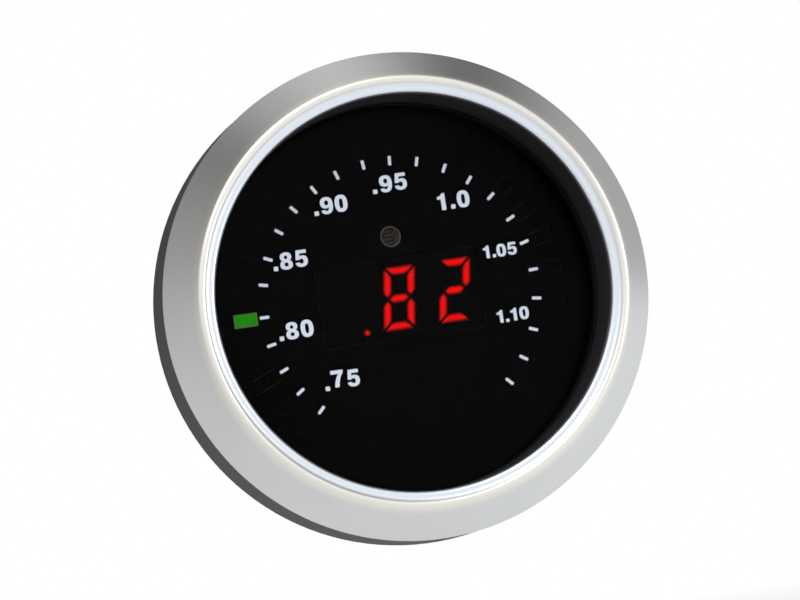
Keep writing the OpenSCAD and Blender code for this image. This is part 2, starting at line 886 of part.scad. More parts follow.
// Ring of cells that keeps each light's glow out of the next window
module light_baffle() {
    color("#151516")
    face_frame()
    translate([0, 0, display_board_front_z])
        linear_extrude(dial_to_board - stack_gap)
            difference() {
                circle(baffle_out_r);
                circle(baffle_in_r);
                light_windows(insert_play);
            }
}

module light_chips() {
    color("#d9d6c8")
    face_frame()
    for (i = [0 : light_count - 1])
        at_light(i) {
            block([0, 0], [chip_l, chip_w, chip_base_h], display_board_front_z);
            block([0, 0], [chip_l * 3 / 4, chip_w * 3 / 4, chip_h], display_board_front_z);
        }
}

// Clear bar that leads one light through the dial
module light_pipe(i) {
    foot_z = display_board_front_z + chip_h + part_play;
    at_light(i) {
        block([0, 0], [light_len - insert_play, light_w - insert_play, pipe_front_z - foot_z],
            foot_z);
    }
}

module light_pipes() {
    color("#1e2420")
    face_frame()
    for (i = [0 : light_count - 1]) if (i != lit_light) light_pipe(i);
}

module lit_light_pipe() {
    color("#2ea01a")
    face_frame() light_pipe(lit_light);
}

module dial_plate() {
    color("#0c0c0d")
    face_frame()
    translate([0, 0, dial_back_z])
        linear_extrude(dial_t)
            difference() {
                circle(sleeve_out_r);
                translate([display_x, display_y]) square([window_w, window_h], center = true);
                translate([0, sensor_hole_y]) circle(d = sensor_hole_d);
                light_windows(0);
                for (a = [-90 - dial_key_angle, -90 + dial_key_angle])
                    rotate(a) translate([collar_in_r, 0]) circle(dial_key_r + insert_play);
            }
}

module spacer_ring() {
    color("#141416")
    face_frame()
    ring(sleeve_out_r, sleeve_in_r, dial_front_z, dial_front_z + spacer_ring_h);
}

module lens_gasket() {
    color("#0d0d0d")
    face_frame()
    ring(sleeve_out_r, sleeve_in_r, lens_gasket_z, lens_gasket_z + lens_gasket_t);
}

module lens() {
    color("#30343a", 0.35)
    face_frame()
    rotate_extrude()
        polygon([[0, lens_back_z], [sleeve_out_r, lens_back_z],
            [sleeve_out_r, lens_front_z - stack_gap], [sleeve_out_r - stack_gap, lens_front_z],
            [0, lens_front_z]]);
}

// Black sleeve between the bezel's lip and the lens
module lens_sleeve() {
    color("#1f1f22")
    face_frame()
    ring(sleeve_out_r, sleeve_in_r, sleeve_back_z, sleeve_front_z);
}

// Bezel: straight conical land, two polished rolls and the thread that takes the collar
module bezel() {
    thread_r = collar_out_r + thread_play;
    shoulder_z = collar_front_z + seam_gap;
    lip_bore_r = sleeve_out_r + bore_play;
    color("#b9babb")
    face_frame()
    rotate_extrude()
        union() {
            polygon([
                [thread_r + bezel_edge_r, bezel_back_z], [land_foot_r - bezel_edge_r, bezel_back_z],
                [land_foot_r, bezel_back_z + bezel_edge_r],
                [land_roll_ring_r + land_roll_r, land_top_z], [land_roll_ring_r, land_top_z],
                [lip_roll_ring_r, lip_roll_z], [lip_roll_ring_r - lip_roll_r, lip_roll_z],
                [lip_roll_ring_r - lip_roll_r, lip_under_z], [lip_bore_r, lip_under_z],
                [lip_bore_r, shoulder_z], [thread_r, shoulder_z],
                [thread_r, bezel_back_z + bezel_edge_r]]);
            translate([land_roll_ring_r, land_top_z]) circle(land_roll_r);
            translate([lip_roll_ring_r, lip_roll_z])
                intersection() {
                    circle(lip_roll_r);
                    translate([-lip_roll_r, lip_under_z - lip_roll_z])
                        square([2 * lip_roll_r, lip_t + lip_roll_r]);
                }
        }
}

// U shaped clamp bracket, bent from one strip, with notched feet that bite on the panel's back
module clamp_bracket() {
    out_bend_r = bracket_bend_r + bracket_t;
    color("#c3c6ca")
    face_frame()
    difference() {
        translate([bracket_w / 2, 0, 0])
            rotate([0, -90, 0])
                linear_extrude(bracket_w)
                    difference() {
                        union() {
                            translate([bracket_back_z + out_bend_r, -bracket_out])
                                square([bracket_foot_z - bracket_back_z - out_bend_r,
                                    2 * bracket_out]);
                            translate([bracket_back_z, out_bend_r - bracket_out])
                                square([out_bend_r + bracket_t, 2 * (bracket_out - out_bend_r)]);
                            for (y = [-1, 1])
                                translate([bracket_back_z + out_bend_r,
                                    y * (bracket_out - out_bend_r)])
                                    circle(out_bend_r);
                        }
                        translate([bracket_bar_z + bracket_bend_r, -bracket_in])
                            square([bracket_leg + cut, 2 * bracket_in]);
                        translate([bracket_bar_z, bracket_bend_r - bracket_in])
                            square([bracket_bend_r + cut, 2 * (bracket_in - bracket_bend_r)]);
                        for (y = [-1, 1])
                            translate([bracket_bar_z + bracket_bend_r,
                                y * (bracket_in - bracket_bend_r)])
                                circle(bracket_bend_r);
                    }
        for (y = [-stud_y, stud_y])
            rod([0, y], stud_r + bore_play, bracket_back_z - cut, bracket_bar_z + cut);
        translate([0, bracket_out + cut, bracket_foot_z])
            rotate([90, 0, 0]) cylinder(h = 2 * (bracket_out + cut), r = bracket_notch_r);
    }
}

// Split lock washers under the nuts
module lock_washers() {
    color("#a9acb0")
    face_frame()
    for (y = [-stud_y, stud_y])
        translate([0, y, 0])
            difference() {
                ring(washer_r, stud_r + bore_play, washer_back_z, bracket_back_z);
                translate([-washer_split_w / 2, 0, washer_back_z - cut])
                    cube([washer_split_w, washer_r + cut, washer_t + 2 * cut]);
            }
}

// Knurled thumb nut with a plain hub towards the washer
module thumb_nut(y) {
    front_z = washer_back_z - stack_gap;
    back_z = front_z - nut_t;
    rim_front_z = front_z - nut_hub_t;
    translate([0, y, 0])
        difference() {
            union() {
                rod([0, 0], nut_hub_r, rim_front_z - nut_chamfer, front_z);
                rotate_extrude()
                    polygon([[0, back_z], [nut_d / 2 - nut_chamfer, back_z],
                        [nut_d / 2, back_z + nut_chamfer], [nut_d / 2, rim_front_z - nut_chamfer],
                        [nut_d / 2 - nut_chamfer, rim_front_z], [0, rim_front_z]]);
            }
            rod([0, 0], stud_r + thread_play, back_z - cut, front_z + cut);
            for (i = [0 : nut_groove_count - 1])
                rotate(i * 360 / nut_groove_count)
                    rod([nut_d / 2 + nut_groove_r / 3, 0], nut_groove_r, back_z - cut,
                        rim_front_z + cut / 2);
        }
}

module thumb_nut_top() {
    color("#cfa94f")
    face_frame() thumb_nut(stud_y);
}

module thumb_nut_bottom() {
    color("#cfa94f")
    face_frame() thumb_nut(-stud_y);
}

housing();
panel_gasket();
rear_cover();
cover_seal();
cover_screws();
bracket_studs();
sensor_connector();
sensor_pins();
power_connector();
power_pins();
main_board();
microcontroller();
sensor_controller();
supply_capacitors();
power_inductor();
crystal();
voltage_regulator();
link_socket();
link_pins();
board_spacers();
spacer_screws();
display_board();
display_driver();
display_module();
display_pins();
lit_segments();
dark_segments();
photoresistor();
photoresistor_leads();
light_baffle();
light_chips();
light_pipes();
lit_light_pipe();
dial_plate();
spacer_ring();
lens_gasket();
lens();
lens_sleeve();
bezel();
clamp_bracket();
lock_washers();
thumb_nut_top();
thumb_nut_bottom();
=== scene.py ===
"""Looks of a round air fuel ratio gauge.

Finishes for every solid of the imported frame, and the pieces that need more than the solids give:
the turned bezel, the printed dial, the lit readout and light window, the winding film of the light
sensor and the threaded studs. Sizes are in millimetres unless a name says otherwise. Pieces are
drawn flat, with x to the right, y up and z out of the face, and then stood up on the gauge.
"""
from __future__ import annotations

import json
import logging
import math
from collections.abc import Callable, Iterator
from contextlib import contextmanager
from dataclasses import dataclass, field
from enum import Enum

import bpy
from mathutils import Matrix, Vector


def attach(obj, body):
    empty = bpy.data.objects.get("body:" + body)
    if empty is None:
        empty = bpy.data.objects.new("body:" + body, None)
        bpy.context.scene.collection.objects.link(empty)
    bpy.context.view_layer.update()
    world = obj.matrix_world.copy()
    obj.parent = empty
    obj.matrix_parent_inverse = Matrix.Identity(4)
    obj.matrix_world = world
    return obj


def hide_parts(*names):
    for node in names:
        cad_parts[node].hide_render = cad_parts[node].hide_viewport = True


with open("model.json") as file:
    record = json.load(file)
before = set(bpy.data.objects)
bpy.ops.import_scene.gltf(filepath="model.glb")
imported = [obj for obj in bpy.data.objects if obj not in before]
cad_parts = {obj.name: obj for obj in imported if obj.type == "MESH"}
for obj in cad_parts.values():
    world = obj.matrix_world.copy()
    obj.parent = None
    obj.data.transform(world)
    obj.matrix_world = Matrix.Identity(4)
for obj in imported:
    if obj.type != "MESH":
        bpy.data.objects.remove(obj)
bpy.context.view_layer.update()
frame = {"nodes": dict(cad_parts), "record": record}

LOG = logging.getLogger("gauge")
MM = 0.001
GAUGE_BODY = "gauge_body"
GLOW_LAYER = "glow"
DIAL_FRONT = 5.8
LIT_WINDOW_SIZE = (2.85, 1.6)
ABOUT_AXIS = (1.0, 0.0, 1.0)
OVER_FLOOR = (1.0, 1.0, 0.0)
# Drawn lines are this much shorter across than along
DRAWN_STRETCH = 0.03
# Turn of the tent's wall, from the left, at which the table lies
TABLE_TURN = 0.25
# Noise seldom leaves this part of its range of zero to one
NOISE_LOW, NOISE_HIGH = 0.3, 0.7
# Octaves of noise in slow waves, in clouds of colour and in fine grain
WAVE_DETAIL, CLOUD_DETAIL, GRAIN_DETAIL = 1.0, 3.0, 4.0
LEAST_ROUGHNESS = 0.02
WHITE = (1.0, 1.0, 1.0, 1.0)

Object = bpy.types.Object
Socket = bpy.types.NodeSocket
Point = tuple[float, float]
Level = tuple[float, float, float]


def linear(colour: str) -> tuple[float, float, float, float]:
    """Turns an sRGB hex colour into the linear colour that the shaders take.

    Args:
        colour: six hex digits, such as "c8c9ca".

    Returns:
        Linear red, green and blue with an alpha of one.
    """
    parts = [int(colour[i:i + 2], 16) / 255 for i in (0, 2, 4)]
    red, green, blue = (c / 12.92 if c <= 0.04045 else ((c + 0.055) / 1.055) ** 2.4 for c in parts)
    return red, green, blue, 1.0


def clear_selection() -> None:
    """Leaves edit mode and deselects everything, the frame's nodes included."""
    if bpy.context.object and bpy.context.object.mode != "OBJECT":
        bpy.ops.object.mode_set(mode="OBJECT")
    bpy.ops.object.select_all(action="DESELECT")


def take(*pieces: Object) -> None:
    """Makes objects the only selected ones, and the first of them active.

    Args:
        *pieces: the objects.
    """
    clear_selection()
    for piece in pieces:
        piece.select_set(True)
    bpy.context.view_layer.objects.active = pieces[0]


def primitive(add: Callable[..., set], **settings: object) -> Object:
    """Adds one of Blender's plain shapes, with nothing else selected.

    Args:
        add: the operator that adds it.
        **settings: the operator's settings.

    Returns:
        The new mesh object.
    """
    clear_selection()
    add(**settings)
    return bpy.context.object


def join(*pieces: Object) -> Object:
    """Joins objects into the first of them.

    Args:
        *pieces: the mesh objects.

    Returns:
        The first object, which now holds them all.
    """
    take(*pieces)
    bpy.ops.object.join()
    return pieces[0]


def link(piece: Object) -> Object:
    """Shows an object in the scene, and gives it back."""
    bpy.context.scene.collection.objects.link(piece)
    return piece


def twin(piece: Object) -> Object:
    """Copies an object with its own mesh.

    Args:
        piece: the object to copy.

    Returns:
        The copy, linked to the scene.
    """
    copy = piece.copy()
    copy.data = piece.data.copy()
    return link(copy)


@contextmanager
def editing(piece: Object) -> Iterator[None]:
    """Opens an object in edit mode with its whole mesh selected, and closes it again.

    Args:
        piece: the mesh object.

    Yields:
        Nothing, while the object is open.
    """
    take(piece)
    bpy.ops.object.mode_set(mode="EDIT")
    bpy.ops.mesh.select_all(action="SELECT")
    yield
    bpy.ops.object.mode_set(mode="OBJECT")


def tidy_mesh(piece: Object, merge: float = 1e-7) -> None:
    """Merges doubles and turns every face outwards.

    Args:
        piece: the mesh object.
        merge: distance in metres under which vertices are one.
    """
    with editing(piece):
        bpy.ops.mesh.remove_doubles(threshold=merge)
        bpy.ops.mesh.normals_make_consistent(inside=False)


def smooth(piece: Object, angle: float) -> None:
    """Shades the edges up to an angle in degrees smooth."""
    take(piece)
    bpy.ops.object.shade_smooth_by_angle(angle=math.radians(angle))


def raise_faces(height: float) -> None:
    """Extrudes the selected faces along z."""
    bpy.ops.mesh.extrude_region_move(TRANSFORM_OT_translate={"value": (0, 0, height * MM)})


def resize(size: Level) -> None:
    """Scales what is selected about the origin, by a size in millimetres."""
    bpy.ops.transform.resize(value=Vector(size) * MM, center_override=(0, 0, 0))


def round_edges(piece: Object, width: float, segments: int) -> None:
    """Bevels every edge of a piece and tidies it.

    Args:
        piece: the mesh object.
        width: width of the bevel.
        segments: parts of each rounding.
    """
    take(piece)
    bevel = piece.modifiers.new("edge", "BEVEL")
    bevel.width, bevel.segments = width * MM, segments
    bpy.ops.object.modifier_apply(modifier=bevel.name)
    tidy_mesh(piece)


def stand_up(piece: Object, x: float = 0.0, y: float = 0.0, z: float = 0.0,
             turn: float = 0.0) -> None:
    """Moves a mesh that was drawn flat to its place on the upright face of the gauge.

    Args:
        piece: mesh object at the origin.
        x: place to the right of the axis.
        y: place above the axis.
        z: level in front of the panel.
        turn: turn about the piece's own z, in degrees.
    """
    upright = Matrix.Rotation(math.radians(90), 4, "X")
    piece.data.transform(upright @ Matrix.Translation(Vector((x, y, z)) * MM)
                         @ Matrix.Rotation(math.radians(turn), 4, "Z"))


def wire(points: list[Point], closed: bool = True) -> Object:
    """Draws a profile as a chain of edges, from a circle whose points are moved.

    Args:
        points: radius and height of each point.
        closed: whether the last point joins the first.

    Returns:
        A mesh object of edges in the xz plane.
    """
    piece = primitive(bpy.ops.mesh.primitive_circle_add, vertices=len(points), radius=MM)
    for vertex, (radius, height) in zip(piece.data.vertices, points):
        vertex.co = (radius * MM, 0, height * MM)
    if not closed:
        with editing(piece):
            bpy.ops.mesh.select_all(action="DESELECT")
        for end in (0, -1):
            piece.data.vertices[end].select = True
        bpy.ops.object.mode_set(mode="EDIT")
        bpy.ops.mesh.delete(type="EDGE")
        bpy.ops.object.mode_set(mode="OBJECT")
    return piece


def lathe(profile: list[Point], steps: int, angle: float) -> Object:
    """Turns a closed profile about the z axis.

    Args:
        profile: radius and height of each point.
        steps: parts of the full turn.
        angle: angle in degrees up to which edges are shaded smooth.

    Returns:
        A closed mesh object at the origin.
    """
    piece = wire(profile)
    with editing(piece):
        bpy.ops.mesh.spin(steps=steps, angle=2 * math.pi, center=(0, 0, 0), axis=(0, 0, 1))
    tidy_mesh(piece, merge=1e-6)
    smooth(piece, angle)
    return piece


def prism(sides: int, radius: float, foot: float, top: float) -> Object:
    """Raises a closed prism about the z axis.

    Args:
        sides: number of its sides.
        radius: distance of its corners from the axis.
        foot: its lowest level.
        top: its highest level.

    Returns:
        A mesh object.
    """
    piece = primitive(bpy.ops.mesh.primitive_circle_add, vertices=sides, radius=radius * MM,
                      fill_type="NGON", location=(0, 0, foot * MM))
    bpy.ops.object.transform_apply(location=True)
    with editing(piece):
        raise_faces(top - foot)
    tidy_mesh(piece)
    return piece


def as_mesh(curve: bpy.types.Curve) -> Object:
    """Turns a curve into a mesh object at the origin.

    Args:
        curve: the curve's data.

    Returns:
        The mesh object.
    """
    take(link(bpy.data.objects.new(curve.name, curve)))
    bpy.ops.object.convert(target="MESH")
    return bpy.context.object


def arc(centre: Point, radius: float, start: float, end: float, parts: int) -> list[Point]:
    """Gives points on an arc, both ends included, for angles in degrees."""
    angles = [math.radians(start + (end - start) * i / parts) for i in range(parts + 1)]
    return [(centre[0] + radius * math.cos(a), centre[1] + radius * math.sin(a)) for a in angles]


def ring(centre: Point, radius: float, sides: int) -> list[Point]:
    """Gives the corners of a circle, once round from its right."""
    return arc(centre, radius, 0, 360 - 360 / sides, sides - 1)


def on_dial(radius: float, angle: float) -> Vector:
    """Gives the place at an angle in degrees, which runs clockwise from the dial's bottom."""
    turn = math.radians(-90 - angle)
    return Vector((radius * math.cos(turn), radius * math.sin(turn)))


class Graph:
    """A node tree that grows by small steps, each of which gives an output socket."""

    def __init__(self, owner: bpy.types.Material | bpy.types.World) -> None:
        """Empties the tree that it will fill.

        Args:
            owner: the material or the world of the tree.
        """
        owner.use_nodes = True
        self.tree = owner.node_tree
        self.tree.nodes.clear()

    def add(self, kind: str, inputs: dict | None = None, **settings: object) -> bpy.types.Node:
        """Adds one node with its settings, its values and its links.

        Args:
            kind: the node's type name, without the word that all share.
            inputs: socket name or index, with a value to set or an output socket to link from.
            **settings: attributes of the node itself.

        Returns:
            The new node.
        """
        node = self.tree.nodes.new(f"ShaderNode{kind}")
        for name, value in settings.items():
            setattr(node, name, value)
        for socket, value in (inputs or {}).items():
            if isinstance(value, Socket):
                self.tree.links.new(value, node.inputs[socket])
            else:
                node.inputs[socket].default_value = value
        return node

    def place(self) -> Socket:
        """Gives the object coordinates, in metres."""
        return self.add("TexCoord").outputs["Object"]

    def radius(self, keep: Level) -> Socket:
        """Gives the distance from an axis, for a vector with a zero along that axis."""
        flat = self.add("VectorMath", {0: self.place(), 1: keep}, operation="MULTIPLY").outputs[0]
        return self.add("VectorMath", {0: flat}, operation="LENGTH").outputs["Value"]

    def stretched(self, place: Socket, along: float) -> Socket:
        """Draws a pattern out along x, by scaling that coordinate down."""
        return self.add("Mapping", {"Vector": place, "Scale": (along, 1, 1)}).outputs[0]

    def parts(self, vector: Socket) -> bpy.types.NodeOutputs:
        """Gives the three parts of a vector."""
        return self.add("SeparateXYZ", {0: vector}).outputs

    def noise(self, place: Socket, size_mm: float, detail: float = 2.0) -> Socket:
        """Gives soft noise whose lumps have a size in millimetres."""
        return self.add("TexNoise", {"Vector": place, "Scale": 1 / (size_mm * MM),
                                     "Detail": detail}).outputs["Fac"]

    def reckon(self, operation: str, first: Socket, second: Socket | float = 0.0) -> Socket:
        """Reckons with one or two numbers."""
        return self.add("Math", {0: first, 1: second}, operation=operation).outputs[0]

    def span(self, value: Socket, low: float, high: float, start: float = 0.0,
             end: float = 1.0) -> Socket:
        """Maps the span from low to high on the span from start to end, and clamps it."""
        return self.add("MapRange", {"Value": value, "From Min": low, "From Max": high,
                                     "To Min": start, "To Max": end}).outputs[0]

    def mix(self, factor: Socket, first: object, second: object, kind: str = "RGBA") -> Socket:
        """Mixes two colours, or two numbers where kind says FLOAT."""
        return self.add("Mix", {"Factor": factor, "A": first, "B": second},
                        data_type=kind).outputs["Result"]

    def seen(self) -> Socket:
        """Gives one where the camera sees a thing itself, also through glass."""
        path = self.add("LightPath").outputs
        return self.reckon("MAXIMUM", path["Is Camera Ray"], path["Is Transmission Ray"])

    def mirrored(self) -> Socket:
        """Gives one where a glossy surface mirrors a thing."""
        return self.add("LightPath").outputs["Is Glossy Ray"]


class Way(Enum):
    """How a surface was made, which sets the way its fine grain runs."""

    MOULDED = "even grain of a spark eroded mould"
    DRAWN = "lines along x, as on rolled and drawn strip"
    TURNED = "fine rings about the gauge's axis, as a lathe leaves"
    SMOOTH = "no grain, only slow waves"


@dataclass(frozen=True)
class Grain:
    """Fine relief of a surface, at its real scale."""

    size_mm: float = 0.25
    depth_mm: float = 0.004
    way: Way = Way.MOULDED

    def place(self, graph: Graph) -> Socket:
        """Gives the coordinates that the grain follows.

        Args:
            graph: the material's nodes.

        Returns:
            The socket with the coordinates.
        """
        if self.way is Way.DRAWN:
            return graph.stretched(graph.place(), DRAWN_STRETCH)
        if self.way is Way.TURNED:
            depth = graph.parts(graph.place())["Y"]
            return graph.add("CombineXYZ", {"X": graph.radius(ABOUT_AXIS), "Y": depth}).outputs[0]
        return graph.place()

    def height(self, graph: Graph) -> Socket:
        """Draws the height of the grain, from zero to one."""
        detail = WAVE_DETAIL if self.way is Way.SMOOTH else GRAIN_DETAIL
        return graph.noise(self.place(graph), self.size_mm, detail)


@dataclass(frozen=True)
class Finish:
    """A real surface finish: two close colours in soft clouds, and a grain with its roughness."""

    name: str
    base: str
    shade: str
    roughness: float
    grain: Grain = Grain()
    metallic: float = 0.0
    ior: float = 1.5
    cloud_mm: float = 6.0
    rough_spread: float = 0.06
    specular: float = 0.5
    alpha: float = 1.0
    glow: str = ""
    glow_strength: float = 0.0

    def colour(self, graph: Graph) -> Socket:
        """Mixes the base colour and its shade in soft clouds."""
        clouds = graph.noise(graph.place(), self.cloud_mm, CLOUD_DETAIL)
        return graph.mix(clouds, linear(self.base), linear(self.shade))

    def rough(self, graph: Graph, height: Socket) -> Socket:
        """Lets the grain's height spread the roughness about its mean.

        Args:
            graph: the material's nodes.
            height: the grain's height.

        Returns:
            The socket with the roughness.
        """
        return graph.span(height, NOISE_LOW, NOISE_HIGH,
                          max(self.roughness - self.rough_spread, LEAST_ROUGHNESS),
                          min(self.roughness + self.rough_spread, 1.0))

    def shine(self, graph: Graph) -> Socket | None:
        """Gives the pattern of the glow, where it has one."""
        return None

    def build(self) -> bpy.types.Material:
        """Makes the material.

        Returns:
            The material, named for the finish.
        """
        material = bpy.data.materials.new(self.name)
        graph = Graph(material)
        height = self.grain.height(graph)
        bump = graph.add("Bump", {"Height": height, "Strength": 1.0,
                                  "Distance": self.grain.depth_mm * MM}).outputs[0]
        inputs = {"Base Color": self.colour(graph), "Roughness": self.rough(graph, height),
                  "Normal": bump, "Metallic": self.metallic, "Specular IOR Level": self.specular,
                  "Alpha": self.alpha}
        if self.metallic < 1:
            inputs["IOR"] = self.ior
        if self.glow:
            inputs["Emission Color"] = self.shine(graph) or linear(self.glow)
            inputs["Emission Strength"] = self.glow_strength
        shader = graph.add("BsdfPrincipled", inputs)
        graph.add("OutputMaterial", {"Surface": shader.outputs[0]})
        return material


@dataclass(frozen=True)
class BezelMetal(Finish):
    """Blasted and anodised land that turns to smoother rolls inside its top edge, whose brighter
    colour is a painted highlight.
    """

    land_radius_mm: float = 25.9
    valley_radius_mm: float = 24.55
    blend_mm: float = 0.25
    roll_roughness: float = 0.38
    # Painted highlights of the two rolls: brighter than the land, warm outside the valley, cool
    # inside it
    outer_roll_painted_highlight: str = "f1eee6"
    inner_roll_painted_highlight: str = "e9eff7"

    def outside(self, graph: Graph, radius_mm: float) -> Socket:
        """Gives zero inside a radius about the axis and one outside it, over a narrow band."""
        return graph.span(graph.radius(ABOUT_AXIS), (radius_mm - self.blend_mm) * MM,
                          (radius_mm + self.blend_mm) * MM)

    def rough(self, graph: Graph, height: Socket) -> Socket:
        """Smooths the surface of the rolls."""
        return graph.mix(self.outside(graph, self.land_radius_mm), self.roll_roughness,
                         super().rough(graph, height), kind="FLOAT")

    def colour(self, graph: Graph) -> Socket:
        """Paints a highlight into the rolls' colour: brighter than the land, the outer one a little
        warmer and the inner one cooler.

        Args:
            graph: the material's nodes.

        Returns:
            The socket with the colour.
        """
        # The rolls' painted highlight, split at the valley into a warm and a cool one
        rolls = graph.mix(self.outside(graph, self.valley_radius_mm), linear(self.inner_roll_painted_highlight),
                          linear(self.outer_roll_painted_highlight))
        return graph.mix(self.outside(graph, self.land_radius_mm), rolls, super().colour(graph))


@dataclass(frozen=True)
class LitWindow(Finish):
    """End of a lit light pipe: fine streaks along its length inside a paler frosted rim."""

    centre_mm: Point = (-18.98, 0.2)
    # The rim starts at the first of these distances from the edge, and is full at the second
    rim_mm: Point = (0.24, 0.08)
    rim: str = "4a6a3c"
    streak_mm: float = 0.16
    streak_stretch: float = 0.08
    streak_levels: Point = (0.75, 1.1)

    def shine(self, graph: Graph) -> Socket:
        """Draws the rim and the streaks in the glow's colour.

        Args:
            graph: the material's nodes.

        Returns:
            The colour of the glow.
        """
        shift = (-self.centre_mm[0] * MM, 0, -self.centre_mm[1] * MM)
        local = graph.add("Mapping", {"Vector": graph.place(), "Location": shift}).outputs[0]
        edges = []
        for axis, size in zip("XZ", LIT_WINDOW_SIZE):
            far = graph.reckon("ABSOLUTE", graph.parts(local)[axis])
            edges.append(graph.span(far, *((size / 2 - inset) * MM for inset in self.rim_mm)))
        streaks = graph.noise(graph.stretched(local, self.streak_stretch), self.streak_mm)
        level = graph.span(streaks, NOISE_LOW, NOISE_HIGH, *self.streak_levels)
        core = graph.add("VectorMath", {0: linear(self.glow)[:3], "Scale": level},
                         operation="SCALE").outputs[0]
        return graph.mix(graph.reckon("MAXIMUM", *edges), core, linear(self.rim))


@dataclass(frozen=True)
class LitSegment(Finish):
    """Lit diffuser of the readout: brightest along its middle, dimmer where the filling thins."""

    edge: str = "2c0000"
    dim: str = "d80200"
    dim_mm: float = 0.9
    falloff: float = 1.5

    def shine(self, graph: Graph) -> Socket:
        """Fades the glow from the middle of a segment to its edge.

        Args:
            graph: the material's nodes.

        Returns:
            The colour of the glow.
        """
        core = graph.mix(graph.noise(graph.place(), self.dim_mm), linear(self.glow),
                         linear(self.dim))
        middle = graph.add("Attribute", attribute_name=GLOW_LAYER).outputs["Fac"]
        return graph.mix(graph.reckon("POWER", middle, self.falloff), linear(self.edge), core)


